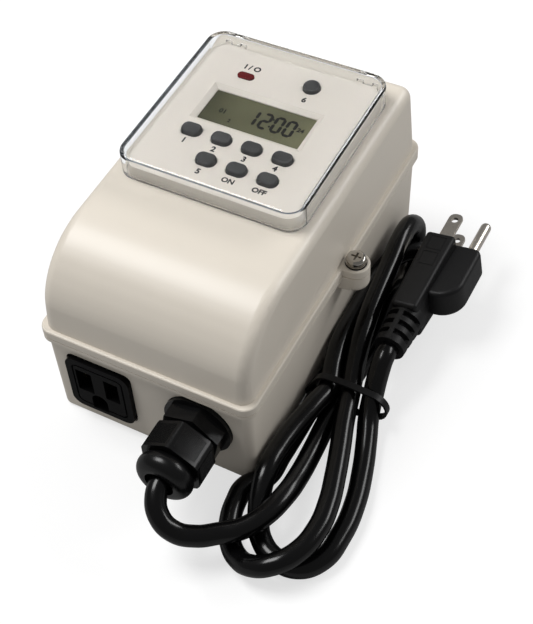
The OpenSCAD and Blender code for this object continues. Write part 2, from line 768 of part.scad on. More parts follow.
module board_header() {
    color([0.92, 0.92, 0.88]) translate([-ribbon_w / 2 - 1, header_y - 2.5, pboard_top_z]) cube([ribbon_w + 2, 5, 6]);
}

module relay() {
    color([0.15, 0.25, 0.55]) translate([14, 46, pboard_top_z]) round_block(19, 15.5, 15.5, 0.8);
}

module transformer_core() {
    color([0.30, 0.30, 0.32]) translate([-12, 38, pboard_top_z]) difference() {
        translate([-14, -6, 0]) cube([28, 12, 24]);
        for (s = [-1, 1]) translate([s * 7, 0, 12]) cube([5, 14, 14], center = true);
    }
}

module transformer_winding() {
    color([0.75, 0.50, 0.20]) translate([-12, 38, pboard_top_z + 12]) difference() {
        cube([18.6, 22, 13.6], center = true);
        cube([9, 12.02, 30], center = true);
        for (s = [-1, 1]) translate([s * 12, 0, 0]) cube([5.2, 12.02, 30], center = true);
    }
}

module capacitor() {
    color([0.10, 0.12, 0.20]) translate([16, 20, pboard_top_z]) cylinder(r = 5, h = 12);
}

module fuse() {
    color([0.80, 0.82, 0.82]) translate([-22, 14, pboard_top_z]) {
        for (x = [0, 17]) translate([x, -3.2, 0]) cube([3, 6.4, 5]);
        translate([0, 0, 4]) rotate([0, 90, 0]) cylinder(r = 2.6, h = 20);
    }
}

module terminal_block() {
    color([0.10, 0.40, 0.25]) translate([0, block_y, pboard_top_z]) difference() {
        translate([-2 * block_pitch, -5, 0]) cube([4 * block_pitch, 10, block_h]);
        for (i = [-1.5 : 1 : 1.5]) {
            translate([i * block_pitch, 0, block_h / 2]) cylinder(r = 2.2, h = block_h);
            translate([i * block_pitch, -3, block_h / 2 - 2]) cube([4, 6, 4], center = true);
        }
    }
}

module terminal_screws() {
    color([0.75, 0.75, 0.72]) for (i = [-1.5 : 1 : 1.5])
        translate([i * block_pitch, block_y, pboard_top_z + block_h / 2]) cylinder(r = 2, h = 4);
}

// Clear cover, hinged on two pins at its back edge

module clear_cover() {
    inner_h = cover_top_z - cover_z - cover_t;
    color([0.85, 0.90, 0.95, 0.35]) difference() {
        union() {
            difference() {
                translate([0, cover_y, cover_z])
                    soft_block(cover_w, cover_l, cover_top_z - cover_z, cover_r, cover_edge_r);
                translate([0, cover_y, cover_z - 1])
                    round_block(cover_w - 2 * cover_t, cover_l - 2 * cover_t, inner_h + 1, cover_r - cover_t);
                translate([-cover_w, skirt_cut_y, cover_z - 1]) cube([2 * cover_w, 10, skirt_cut_z - cover_z + 1]);
                for (s = [-1, 1])
                    translate([s * knuckle_x - knuckle_l / 2 - post_t - 2 * post_gap, hinge_y, hinge_z]) rotate([0, 90, 0])
                        cylinder(r = knuckle_r + post_clear, h = knuckle_l + 2 * post_t + 4 * post_gap);
            }
            for (s = [-1, 1]) {
                translate([s * knuckle_x - knuckle_l / 2, hinge_y, hinge_z]) rotate([0, 90, 0])
                    cylinder(r = knuckle_r, h = knuckle_l);
                translate([s * knuckle_x - knuckle_l / 2, cover_back_y - cover_t, hinge_z])
                    cube([knuckle_l, cover_t, knuckle_r + post_clear + 0.6]);
            }
        }
        for (s = [-1, 1])
            translate([s * knuckle_x - knuckle_l, hinge_y, hinge_z]) rotate([0, 90, 0])
                cylinder(r = pin_r + pin_gap, h = 2 * knuckle_l);
    }
}

module cover_pins() {
    reach = knuckle_l / 2 + post_gap + post_t;
    color([0.75, 0.75, 0.75]) for (s = [-1, 1])
        translate([s * knuckle_x - reach, hinge_y, hinge_z]) rotate([0, 90, 0]) cylinder(r = pin_r, h = 2 * reach);
}

// Outlet: everything is measured from its middle, with z pointing out of the wall

module at_outlet() {
    translate([outlet_x, outlet_face_y, outlet_z]) rotate([90, 0, 0]) children();
}

module arch(w, h) {
    translate([-w / 2, 0]) square([w, h]);
    translate([0, h]) circle(r = w / 2);
}

module outlet_housing() {
    color([0.08, 0.08, 0.09]) at_outlet() difference() {
        union() {
            translate([0, 0, -outlet_depth]) round_block(outlet_w, outlet_h, outlet_depth, outlet_r);
            // Snap teeth behind the wall
            for (s = [-1, 1])
                translate([s * outlet_w / 2, 0, -outlet_proud - wall - 2.6]) rotate([90, 0, 0])
                    linear_extrude(height = 12, center = true)
                        polygon([[-s, 0], [s * 0.2, 0], [s * 1.4, 2.4], [-s, 2.4]]);
        }
        translate([0, 0, -0.6]) ring_block(outlet_w - 6, outlet_h - 6, 1, 3, 0.8);
        for (s = SLOTS)
            translate([s[0] - s[1] / 2, slot_z - s[2] / 2, -slot_depth]) cube([s[1], s[2], slot_depth + 1]);
        translate([earth_x, earth_z - earth_h / 2, -slot_depth])
            linear_extrude(height = slot_depth + 1) arch(earth_w, earth_h);
    }
}

// U-shaped leaf spring that grips one blade, with its back at z = 0
module leaf(w, h) {
    for (s = [-1, 1]) translate([s * (w - leaf_t) / 2 - leaf_t / 2, -h / 2, 0]) cube([leaf_t, h, leaf_l]);
    translate([-w / 2, -h / 2, 0]) cube([w, h, leaf_t]);
}

module outlet_contacts() {
    color([0.80, 0.62, 0.30]) at_outlet() for (s = SLOTS)
        translate([s[0], slot_z, -slot_depth]) leaf(s[1], s[2] - 4);
}

module outlet_earth_contact() {
    color([0.80, 0.62, 0.30]) at_outlet() translate([earth_x, earth_z, -slot_depth]) leaf(earth_w, earth_h - 1);
}

// Cable gland

module hex(af, h) {
    cylinder(r = af / 2 / cos(30), h = h, $fn = 6);
}

module gland_body() {
    color([0.09, 0.09, 0.10]) at_gland() difference() {
        union() {
            translate([0, 0, -thread_in]) cylinder(r = gland_thread_r, h = thread_in + washer_y + eps);
            translate([0, 0, washer_y]) cylinder(r = gland_flange_r, h = flange_y - washer_y);
            translate([0, 0, flange_y - eps]) rotate([0, 0, 18]) hex(collar_af, collar_y - flange_y);
            translate([0, 0, collar_y - eps]) cylinder(r = outer_thread_r, h = 7);
        }
        translate([0, 0, -thread_in - 1]) cylinder(r = gland_bore_r, h = thread_in + collar_y + 12);
    }
}

module gland_washer() {
    color([0.06, 0.06, 0.06]) at_gland() difference() {
        cylinder(r = gland_flange_r, h = washer_y);
        translate([0, 0, -1]) cylinder(r = gland_thread_r, h = washer_y + 2);
    }
}

module gland_seal() {
    color([0.05, 0.05, 0.05]) at_gland() difference() {
        translate([0, 0, collar_y + 7]) cylinder(r = seal_r, h = 9);
        translate([0, 0, collar_y]) cylinder(r = cord_r + 0.03, h = 30);
    }
}

module gland_nut() {
    dome_r = gland_af / 2 - 0.3;
    nut_h = nut_y1 - nut_y0;
    color([0.10, 0.10, 0.11]) at_gland() difference() {
        union() {
            // Six faces with a narrow strip between neighbours
            translate([0, 0, nut_y0]) intersection() {
                rotate([0, 0, 30]) hex(gland_af, nut_h);
                hex(2 * (gland_af / 2 / cos(30) - nut_strip), nut_h);
            }
            rotate_extrude() {
                translate([0, nut_y1 - 1]) square([dome_r - dome_edge_r, dome_y - nut_y1 + 1]);
                intersection() {
                    translate([dome_r - dome_edge_r, dome_y - dome_edge_r]) circle(r = dome_edge_r);
                    translate([0, nut_y1 - 1]) square([dome_r, dome_y - nut_y1 + 1]);
                }
            }
        }
        translate([0, 0, nut_y0 - 1]) cylinder(r = outer_thread_r + 0.1, h = collar_y + 7 - nut_y0 + 1.1);
        translate([0, 0, collar_y + 7]) cylinder(r = seal_r, h = 9);
        translate([0, 0, collar_y + 15]) cylinder(r = dome_hole_r, h = 20);
    }
}

module gland_locknut() {
    color([0.09, 0.09, 0.10]) at_gland() translate([0, 0, -wall - locknut_t]) difference() {
        hex(gland_af, locknut_t);
        translate([0, 0, -1]) cylinder(r = gland_thread_r, h = locknut_t + 2);
    }
}

// Leads inside the box: each leaves the end of the cord's jacket or a terminal

lead_r = 1.2;
lead_sides = 8;
jacket = CORD[0];
term_z = pboard_top_z + block_h / 2 - 2;
term_y = block_y - 5;
neutral_x = outlet_x + SLOTS[0][0];
live_x = outlet_x + SLOTS[1][0];
load_z = outlet_z + slot_z;

function terminal(i) = [(i - 1.5) * block_pitch, term_y + 1, term_z];

// Place along the case, from the outlet's back at k = 0 to the terminals at k = 1
function behind(k) = outlet_back_y + k * (term_y - outlet_back_y);

module lead_live() {
    color([0.08, 0.08, 0.08]) tube([jacket + [2, 0, 1], jacket + [2, 8, 1], jacket + [2, 18, -1], [22, -46, 22],
        [17, -34, 16], [13.8, -26, 14.5], [13.5, -22, term_z], terminal(3)], lead_r, lead_sides);
}

module lead_neutral() {
    color([0.92, 0.92, 0.90]) tube([jacket + [-2, 0, 1], jacket + [-2, 8, 1], jacket + [-3, 18, -1], [16, -46, 22],
        [9, -34, 16], [5, -26, 14.5], [4.5, -22, term_z], terminal(2)], lead_r, lead_sides);
}

module lead_earth() {
    x = outlet_x + earth_x;
    z = outlet_z + earth_z;
    color([0.10, 0.45, 0.15]) tube([jacket + [0, 0, -2.2], jacket + [0, 8, -2.2], [21, behind(-0.05), 22],
        [12, behind(0.2), 17], [0, behind(0.35), 13.5], [-12, behind(0.38), 12], [-20, behind(0.3), 12.3],
        [x, behind(0.16), z], [x, outlet_back_y, z]], lead_r, lead_sides);
}

module lead_load_live() {
    color([0.08, 0.08, 0.08]) tube([[live_x, outlet_back_y, load_z], [live_x, behind(0.15), load_z],
        [-14, behind(0.4), 27], [-9, behind(0.63), 20], [-5, behind(0.82), 15.5], [-4.5, behind(0.92), term_z],
        terminal(1)], lead_r, lead_sides);
}

module lead_load_neutral() {
    color([0.92, 0.92, 0.90]) tube([[neutral_x, outlet_back_y, load_z], [neutral_x, behind(0.15), load_z],
        [-27, behind(0.4), 27], [-19, behind(0.63), 20], [-14, behind(0.82), 15.5], [-13.5, behind(0.92), term_z],
        terminal(0)], lead_r, lead_sides);
}

// Supply cord, its tie and its moulded plug

module power_cord() {
    color([0.05, 0.05, 0.06]) tube(CORD, cord_r - 0.02, 10);
}

module tie_outline(out) {
    hull() for (p = TIE_AT) translate([p[0], p[1]]) circle(r = p[2] + out, $fn = 24);
}

module cord_tie() {
    color([0.07, 0.07, 0.08]) translate([0, tie_y + tie_w / 2, 0]) rotate([90, 0, 0])
        linear_extrude(height = tie_w) difference() {
            tie_outline(tie_t);
            tie_outline(0);
        }
}

module at_plug() {
    translate(plug_at) rotate([0, plug_roll, 0]) children();
}

// Ends of a rounded section of the plug at y, from x0 to x1 and half_h up and down
module plug_station(y, x0, x1, half_h) {
    for (x = [x0 + plug_edge_r, x1 - plug_edge_r], z = [-1, 1])
        translate([x, y, z * (half_h - plug_edge_r)]) sphere(r = plug_edge_r, $fn = 16);
}

module plug_body() {
    slot = 2.6;
    color([0.07, 0.07, 0.08]) at_plug() difference() {
        union() {
            // Block round the blades
            hull() {
                plug_station(-plug_edge_r, -plug_half_w, plug_half_w, plug_half_h);
                plug_station(-27, -plug_half_w * 0.97, plug_half_w * 0.97, plug_half_h * 0.97);
                plug_station(-plug_l + plug_edge_r, -plug_half_w * 0.86, plug_half_w * 0.86, plug_half_h * 0.8);
            }
            // Wing round the ground pin
            hull() {
                plug_station(-plug_edge_r, 0, plug_wing, plug_wing_h);
                plug_station(-20, 0, plug_wing - 0.4, plug_wing_h);
                plug_station(-27, 0, plug_wing - 2.6, plug_wing_h * 0.95);
                plug_station(-31.5, 0, plug_wing - 7.5, plug_wing_h * 0.85);
            }
            translate([0, -plug_l - relief_l, 0]) rotate([-90, 0, 0])
                cylinder(r1 = relief_r1, r2 = relief_r0, h = relief_l + 3);
        }
        // Slots of the strain relief, between four webs
        for (i = [0 : 2])
            translate([0, -plug_l - relief_l + 3.2 + i * 5, 0]) rotate([-90, 0, 0]) difference() {
                cylinder(r = relief_r0 + 1, h = slot);
                translate([0, 0, -1]) cylinder(r = cord_r + 0.8, h = slot + 2);
                for (a = [0, 90]) rotate([0, 0, a]) translate([-10, -1.1, -1]) cube([20, 2.2, slot + 2]);
            }
        for (z = [-1, 1])
            translate([-blade_w / 2, -blade_in, z * blade_pitch / 2 - blade_t / 2]) cube([blade_w, blade_in + 1, blade_t]);
        translate([ground_dx, -blade_in, 0]) rotate([-90, 0, 0]) cylinder(r = ground_r, h = blade_in + 1);
    }
}

module plug_blades() {
    color([0.75, 0.72, 0.66]) at_plug() for (z = [-1, 1])
        translate([0, 0, z * blade_pitch / 2]) difference() {
            translate([-blade_w / 2, -blade_in, -blade_t / 2]) cube([blade_w, blade_in + blade_l, blade_t]);
            translate([0, blade_l - 4, -2]) cylinder(r = 1.6, h = 4);
        }
}

module plug_ground_pin() {
    color([0.78, 0.74, 0.66]) at_plug() translate([ground_dx, -blade_in, 0]) rotate([-90, 0, 0]) {
        cylinder(r = ground_r, h = blade_in + ground_l - ground_r);
        translate([0, 0, blade_in + ground_l - ground_r]) sphere(r = ground_r);
    }
}

base_box();
lid();
lid_gasket();
lid_screws();
screw_washers();
screw_seals();
thread_inserts();
timer_face();
timer_housing();
timer_board();
timer_screws();
timer_chip();
backup_cell();
lcd_panel();
lcd_window();
lcd_connectors();
led_lens();
led_lamp();
key_switches();
button_day();
button_hour();
button_minute();
button_clock();
button_program();
button_on();
button_off();
button_manual();
ribbon_cable();
power_board();
board_screws();
board_header();
relay();
transformer_core();
transformer_winding();
capacitor();
fuse();
terminal_block();
terminal_screws();
clear_cover();
cover_pins();
outlet_housing();
outlet_contacts();
outlet_earth_contact();
gland_body();
gland_washer();
gland_seal();
gland_nut();
gland_locknut();
lead_live();
lead_neutral();
lead_earth();
lead_load_live();
lead_load_neutral();
power_cord();
cord_tie();
plug_body();
plug_blades();
plug_ground_pin();
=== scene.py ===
# The irrigation controller, put together piece by piece in the order of a bench build: camera,
# table and supply cord first, then the case, timer, clear cover, outlet, gland and plug, and
# last what the box holds.
import bpy
import math
from mathutils import Matrix, Vector


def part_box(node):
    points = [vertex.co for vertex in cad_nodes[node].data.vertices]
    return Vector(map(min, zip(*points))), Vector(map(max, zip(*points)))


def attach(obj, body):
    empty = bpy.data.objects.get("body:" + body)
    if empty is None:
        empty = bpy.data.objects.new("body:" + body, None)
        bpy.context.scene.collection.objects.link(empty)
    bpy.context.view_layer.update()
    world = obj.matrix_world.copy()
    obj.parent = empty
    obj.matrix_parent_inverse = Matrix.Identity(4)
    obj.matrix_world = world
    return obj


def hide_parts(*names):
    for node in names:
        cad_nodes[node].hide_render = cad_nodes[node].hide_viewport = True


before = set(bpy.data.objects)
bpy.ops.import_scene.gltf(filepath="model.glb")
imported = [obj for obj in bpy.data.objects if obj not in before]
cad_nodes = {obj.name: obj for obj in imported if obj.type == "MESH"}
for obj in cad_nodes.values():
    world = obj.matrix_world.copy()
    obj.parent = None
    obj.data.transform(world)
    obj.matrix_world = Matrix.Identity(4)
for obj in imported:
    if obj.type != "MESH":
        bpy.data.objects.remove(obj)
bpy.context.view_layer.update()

bpy.ops.object.select_all(action="DESELECT")


# ---------------------------------------------------------------------------------------------
# Camera. It looks down over the outlet and gland corner of the box, turned a little about its
# own axis, from about 0.6 m away, as a short telephoto lens on a product table would.
camera_data = bpy.data.cameras.new("table_camera")
camera = bpy.data.objects.new("table_camera", camera_data)
bpy.context.scene.collection.objects.link(camera)
turn, tilt, lean = math.radians(34.69), math.radians(50.23), math.radians(-7.19)
aim, distance = Vector((-0.02233, -0.00272, -0.00449)), 0.62775
backward = Vector((math.sin(turn) * math.cos(tilt), -math.cos(turn) * math.cos(tilt),
                   math.sin(tilt)))
level_right = (-backward).cross(Vector((0, 0, 1))).normalized()
level_up = level_right.cross(-backward)
lean_right = level_right * math.cos(lean) + level_up * math.sin(lean)
lean_up = level_up * math.cos(lean) - level_right * math.sin(lean)
facing = Matrix((lean_right, lean_up, backward)).transposed().to_4x4()
camera.matrix_world = Matrix.Translation(aim + backward * distance) @ facing
camera_data.sensor_width = 36
camera_data.lens = 77.31
camera_data.shift_x = 0.1062
camera_data.shift_y = -0.0153
camera_data.clip_start = 0.01
camera_data.clip_end = 20
bpy.context.scene.camera = camera
bpy.context.scene.view_settings.view_transform = "Standard"


# ---------------------------------------------------------------------------------------------
# Table and studio. A pale table top that keeps a soft shadow, a large soft lamp high on the
# left, a long one behind on the right for the gloss on the black parts, and a pale room around
# them, which looks bright to the camera but lights the pieces less.
table_size, table_drop = 6, 0.0002
table_grey, table_glow = 0.4, 0.65
room_lights, room_in_gloss = 0.31, 0.55
bpy.ops.mesh.primitive_plane_add(size=table_size, location=(0, 0, -table_drop))
table_top = bpy.context.active_object
table_top.name = "table_top"


def new_material(name):
    """An empty node material: itself, its tree, and the socket that its shader feeds."""
    made = bpy.data.materials.new(name)
    made.use_nodes = True
    made.node_tree.nodes.clear()
    output = made.node_tree.nodes.new("ShaderNodeOutputMaterial")
    return made, made.node_tree, output.inputs["Surface"]


def feed(tree, node, sockets):
    """Gives each socket of a node its plain value, or links it to the socket that feeds it."""
    for key, value in sockets.items():
        if isinstance(value, bpy.types.NodeSocket):
            tree.links.new(value, node.inputs[key])
        else:
            node.inputs[key].default_value = value
    return node


def math_node(tree, operation, *values):
    """The result of a Math node on numbers or sockets."""
    made = tree.nodes.new("ShaderNodeMath")
    made.operation = operation
    return feed(tree, made, dict(enumerate(values))).outputs[0]


def spread(tree, value, low, high):
    """A value from 0 to 1 taken to a range of its own."""
    made = tree.nodes.new("ShaderNodeMapRange")
    return feed(tree, made, {"Value": value, "To Min": low, "To Max": high}).outputs[0]


table_finish, tree, surface = new_material("pale_table")
paper = feed(tree, tree.nodes.new("ShaderNodeBsdfDiffuse"), {"Color": (*[table_grey] * 3, 1)})
rays = tree.nodes.new("ShaderNodeLightPath").outputs
seen = math_node(tree, "MAXIMUM", rays["Is Camera Ray"], rays["Is Transmission Ray"])
glow = feed(tree, tree.nodes.new("ShaderNodeEmission"),
            {"Color": (1, 1, 1, 1), "Strength": math_node(tree, "MULTIPLY", seen, table_glow)})
both = feed(tree, tree.nodes.new("ShaderNodeAddShader"), {0: paper.outputs[0], 1: glow.outputs[0]})
tree.links.new(both.outputs[0], surface)
table_top.data.materials.append(table_finish)

room = bpy.data.worlds.new("pale_room")
room.use_nodes = True
bpy.context.scene.world = room
tree = room.node_tree
rays = tree.nodes.new("ShaderNodeLightPath").outputs
unreflected = math_node(tree, "LESS_THAN", rays["Glossy Depth"], 0.5)
through = math_node(tree, "MULTIPLY", rays["Is Transmission Ray"], unreflected)
seen = math_node(tree, "MAXIMUM", rays["Is Camera Ray"], through)
strength = math_node(tree, "MULTIPLY", spread(tree, seen, low=room_lights, high=1.0),
                     spread(tree, unreflected, low=room_in_gloss, high=1.0))
feed(tree, tree.nodes["Background"], {"Color": (1, 1, 1, 1), "Strength": strength})


def soft_lamp(name, place, look, width, height, watts):
    """A flat softbox at a place, turned to look at a point."""
    lamp = bpy.data.lights.new(name, "AREA")
    lamp.shape = "RECTANGLE"
    lamp.size = width
    lamp.size_y = height
    lamp.energy = watts
    stand = bpy.data.objects.new(name, lamp)
    bpy.context.scene.collection.objects.link(stand)
    stand.location = place
    stand.rotation_mode = "QUATERNION"
    stand.rotation_quaternion = (Vector(look) - Vector(place)).to_track_quat("-Z", "Y")


lid_middle = (0, 0, 0.05)
soft_lamp("key_lamp", (-0.5, -0.12, 1.1), lid_middle, 0.55, 0.55, 9.8)
soft_lamp("back_lamp", (0.75, 0.8, 0.75), lid_middle, 0.9, 0.3, 6)


# ---------------------------------------------------------------------------------------------
# Supply cord. A round 9 mm jacket of black vinyl, folded into a hank of five runs beside the
# box. It leaves the gland straight, and ends in the strain relief of its moulded plug. Its
# route is given in millimetres.
cord_radius = 0.0045
cord_route = [
    (24.1, -76, 29.4), (24.1, -112, 29.4), (25, -118, 27.8), (29, -123.5, 24), (36, -125, 19.5),
    (44, -121.5, 16.5), (50.5, -116, 15), (57.5, -110, 14.6), (62.8, -101, 14.5),
    (65.8, -88, 13.5), (65.8, -76, 10.5), (64.5, -60, 7.2), (63.4, -46, 6.2), (63.2, -32, 6.2),
    (63.3, -18, 6), (64.2, -4, 7.5), (65, 9, 11.8), (64.5, 21, 15), (63.2, 31, 11.6),
    (61.6, 39.5, 7), (60, 46, 4.9), (58.4, 54, 4.6), (57, 62, 8.5), (56.4, 65, 15.8),
    (55.8, 60.5, 23), (56, 52, 26.5), (58, 28, 25.2), (61.2, -2, 21.5), (64.4, -18, 17.5),
    (68.2, -32, 14.1), (72, -46, 13.4), (76, -58, 13.4), (80, -71, 13.8), (83.3, -84, 14),
    (84.4, -96, 14), (82.2, -108, 14), (76, -117, 13.3), (67.5, -120, 9.5), (59.5, -117.5, 5.6),
    (52.8, -111.5, 4.6), (48.6, -103.5, 4.6), (46.6, -95, 4.6), (46.6, -87, 4.6),
    (52.4, -78.6, 4.6), (53, -66, 4.6), (53.8, -32, 6.2), (53.4, -16, 5.2), (55, 8, 4.6),
    (60.5, 17, 4.6), (67.5, 24.5, 4.6), (74.2, 32, 4.7), (77.5, 41, 5.4), (75.3, 49.5, 7.6),
    (69, 54.7, 11), (61.4, 53, 15), (55.7, 46.5, 15.8), (53.2, 36, 16.6), (52.8, 6, 17),
    (53.4, -10, 16.4), (55.6, -21, 15.2), (58.6, -32, 14.1), (57.2, -44, 14.5), (54.8, -58, 14.4),
    (53.8, -70, 14.4), (54, -80, 14), (55.4, -89, 10.5), (58.4, -97.5, 5.4), (63.8, -105.5, 4.6),
    (73, -110.8, 4.6), (82.6, -110.4, 4.6), (89.4, -103, 4.6), (91.4, -90, 4.6), (90.4, -75, 4.6),
    (86.3, -58, 4.8), (82, -45, 6.6), (78.8, -36, 9.8), (77.2, -28, 15), (76.4, -21.3, 21),
    (76.1, -15.5, 25), (76.1, -10.5, 25)
]
cord_curve = bpy.data.curves.new("supply_cord", "CURVE")
cord_curve.dimensions = "3D"
cord_curve.bevel_depth = 1.0
cord_curve.bevel_resolution = 8
cord_curve.resolution_u = 12
cord_curve.use_fill_caps = True
run = cord_curve.splines.new("BEZIER")
run.bezier_points.add(len(cord_route) - 1)
for knot, place in zip(run.bezier_points, cord_route):
    knot.co = Vector(place) / 1000
    knot.radius = cord_radius
    knot.handle_left_type = "AUTO"
    knot.handle_right_type = "AUTO"
supply_cord = bpy.data.objects.new("supply_cord", cord_curve)
bpy.context.scene.collection.objects.link(supply_cord)
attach(supply_cord, "base")
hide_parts("power_cord")


def pattern(tree, kind, sockets):
    """A texture node that follows a piece's own coordinates."""
    made = feed(tree, tree.nodes.new(kind), sockets)
    place = tree.nodes.new("ShaderNodeTexCoord")
    tree.links.new(place.outputs["Object"], made.inputs["Vector"])
    return made


def noise(tree, scale, detail=2):
    """A cloudy mask."""
    made = pattern(tree, "ShaderNodeTexNoise", {"Scale": scale, "Detail": detail})
    return made.outputs["Fac"]


def two_tints(tree, mask, low, high):
    """One colour that goes over into another with a mask."""
    made = tree.nodes.new("ShaderNodeMix")
    made.data_type = "RGBA"
    feed(tree, made, {"A": (*low, 1), "B": (*high, 1), "Factor": mask})
    return made.outputs["Result"]


def raised(tree, mask, strength, distance):
    """The normal of a surface that a mask raises a little."""
    made = tree.nodes.new("ShaderNodeBump")
    feed(tree, made, {"Height": mask, "Strength": strength, "Distance": distance})
    return made.outputs[0]


def shade(tree, surface, sockets):
    """A Principled shader as a material's surface."""
    made = feed(tree, tree.nodes.new("ShaderNodeBsdfPrincipled"), sockets)
    tree.links.new(made.outputs[0], surface)


def moulded_plastic(name, colour, rough, bump=0.02, grain=3500, mottle=0.06, coat=0.0,
                    specular=0.5):
    """Moulded plastic: a faint mottle in the colour, uneven gloss and a fine eroded grain."""
    made, tree, surface = new_material(name)
    cloud = noise(tree, scale=60, detail=4)
    dull, bright = ([min(1, c * (1 + part)) for c in colour] for part in (-mottle, mottle))
    shade(tree, surface, {"Base Color": two_tints(tree, cloud, dull, bright),
                          "Roughness": spread(tree, cloud, low=rough * 0.88, high=rough * 1.12),
                          "Normal": raised(tree, noise(tree, scale=grain), strength=bump,
                                           distance=0.0002),
                          "Coat Weight": coat, "Specular IOR Level": specular})
    return made


black_vinyl = moulded_plastic("black_vinyl", (0.002, 0.002, 0.0022), 0.2, bump=0.03, grain=1800,
                              specular=0.36)
cord_curve.materials.append(black_vinyl)


# ---------------------------------------------------------------------------------------------
# The carried-over solids. Their loose facets are welded for shading only, split again at real
# edges, and each gets the finish of its own material.
weld_gap, crisp_degrees = 0.00001, 30


def shade_like_moulded(name):
    """Round faces of a solid shade smooth and its edges stay crisp."""
    piece = cad_nodes[name]
    for face in piece.data.polygons:
        face.use_smooth = True
    weld = piece.modifiers.new("weld", "WELD")
    weld.merge_threshold = weld_gap
    split = piece.modifiers.new("crisp_edges", "EDGE_SPLIT")
    split.split_angle = math.radians(crisp_degrees)
    even = piece.modifiers.new("even_normals", "WEIGHTED_NORMAL")
    even.keep_sharp = True


def finish_node(name, material):
    """A solid in its own material."""
    cad_nodes[name].data.materials.clear()
    cad_nodes[name].data.materials.append(material)
    shade_like_moulded(name)


cream = moulded_plastic("cream_abs", (0.75, 0.69, 0.6), 0.36, bump=0.03, grain=2600, mottle=0.02)
black_rubber = moulded_plastic("black_rubber", (0.008, 0.008, 0.008), 0.6, bump=0.1, grain=1500,
                               specular=0.2)
finish_node("base_box", cream)
for name in ("lid_gasket", "screw_seals"):
    finish_node(name, black_rubber)


# ---------------------------------------------------------------------------------------------
# Lid. One cream ABS moulding: a hood with a long curved front and a flat top, a flange with two
# screw lugs at its foot, and a raised platform with the timer's bay. Two screws hold it down.
seam_z, flange_top, lid_top, lid_wall = 0.0486, 0.053, 0.0915, 0.0024
flange_half, flange_corner, flange_edge, foot_cut = (0.05, 0.083), 0.006, 0.0009, 0.0004
# Shapes that are fused bite into each other, and tools that cut reach past the far face.
bite, past = 0.001, 0.002


def pick(*pieces):
    """Selects just these pieces, with the first one active."""
    bpy.ops.object.select_all(action="DESELECT")
    for piece in pieces:
        piece.select_set(True)
    bpy.context.view_layer.objects.active = pieces[0]


def round_edges(piece, wanted, offset, steps):
    """Rounds, or with one step cuts, the edges whose two ends pass a test."""
    pick(piece)
    bpy.ops.object.mode_set(mode="EDIT")
    bpy.ops.mesh.select_mode(type="EDGE")
    bpy.ops.mesh.select_all(action="DESELECT")
    bpy.ops.object.mode_set(mode="OBJECT")
    for edge in piece.data.edges:
        edge.select = wanted(*(piece.data.vertices[v].co for v in edge.vertices))
    bpy.ops.object.mode_set(mode="EDIT")
    bpy.ops.mesh.bevel(offset=offset, segments=steps, affect="EDGES")
    bpy.ops.object.mode_set(mode="OBJECT")


# Two lengths that differ by less than a hair are the same.
hair = 1e-6


def is_upright(a, b):
    """Whether an edge stands straight up."""
    return abs(a.x - b.x) < hair and abs(a.y - b.y) < hair


def is_level(a, b):
    """Whether an edge lies level."""
    return abs(a.z - b.z) < hair


def rounded_box(low, high, corner=0.0, edge=0.0, corner_steps=10, edge_steps=5, foot=0.0):
    """A box with round upright corners, a smaller round on top and a cut along its foot."""
    low, high = Vector(low), Vector(high)
    bpy.ops.object.select_all(action="DESELECT")
    bpy.ops.mesh.primitive_cube_add(size=1, location=(low + high) / 2)
    box = bpy.context.active_object
    box.scale = high - low
    bpy.ops.object.transform_apply(location=True, rotation=True, scale=True)
    if corner:
        round_edges(box, is_upright, corner, corner_steps)
    if edge:
        round_edges(box, lambda a, b: min(a.z, b.z) > high.z - hair, edge, edge_steps)
    if foot:
        round_edges(box, lambda a, b: max(a.z, b.z) < low.z + hair, foot, 1)
    return box


def slab(half, low_z, high_z, y=0.0, **shape):
    """A rounded box about the middle of the case, from its half sizes and two heights."""
    return rounded_box((-half[0], y - half[1], low_z), (half[0], y + half[1], high_z), **shape)


def combine(piece, tool, operation):
    """Joins or cuts one closed shape with another, and removes the tool."""
    pick(piece)
    step = piece.modifiers.new("step", "BOOLEAN")
    step.operation = operation
    step.solver = "EXACT"
    step.object = tool
    bpy.ops.object.modifier_apply(modifier="step")
    bpy.data.objects.remove(tool, do_unlink=True)


def take_away(piece, tool):
    """Cuts one closed shape out of another."""
    combine(piece, tool, "DIFFERENCE")


def add_to(piece, tool):
    """Fuses one closed shape with another."""
    combine(piece, tool, "UNION")


def bar_along_x(x0, x1, y, z, r):
    """A plain round bar that lies along x."""
    bpy.ops.object.select_all(action="DESELECT")
    bpy.ops.mesh.primitive_cylinder_add(vertices=32, radius=r, depth=x1 - x0,
                                        location=((x0 + x1) / 2, y, z),
                                        rotation=(0, math.pi / 2, 0))
    bpy.ops.object.transform_apply(location=True, rotation=True, scale=True)
    return bpy.context.active_object


def upright_bar(x, y, z0, z1, r):
    """A plain round bar that stands."""
    bpy.ops.object.select_all(action="DESELECT")
    bpy.ops.mesh.primitive_cylinder_add(vertices=48, radius=r, depth=z1 - z0,
                                        location=(x, y, (z0 + z1) / 2))
    bpy.ops.object.transform_apply(location=True, rotation=True, scale=True)
    return bpy.context.active_object


def crisp(piece, degrees):
    """Smooth across round faces, crisp at real edges."""
    pick(piece)
    bpy.ops.object.shade_smooth_by_angle(angle=math.radians(degrees))
    even = piece.modifiers.new("even_normals", "WEIGHTED_NORMAL")
    even.keep_sharp = True
    even.weight = 80
    bpy.ops.object.modifier_apply(modifier="even_normals")


def dress(piece, name, *materials):
    """Names a piece and gives it its materials."""
    piece.name = name
    piece.data.materials.clear()
    for material in materials:
        piece.data.materials.append(material)


hood_half_x, hood_back, hood_edge = 0.0476, 0.076, 0.0055
hood_foot_half, hood_foot_rise = (0.048, 0.081), 0.0008
nose_y, nose_z, nose_long, nose_tall, nose_steps = -0.046, 0.061, 0.034, 0.0305, 24


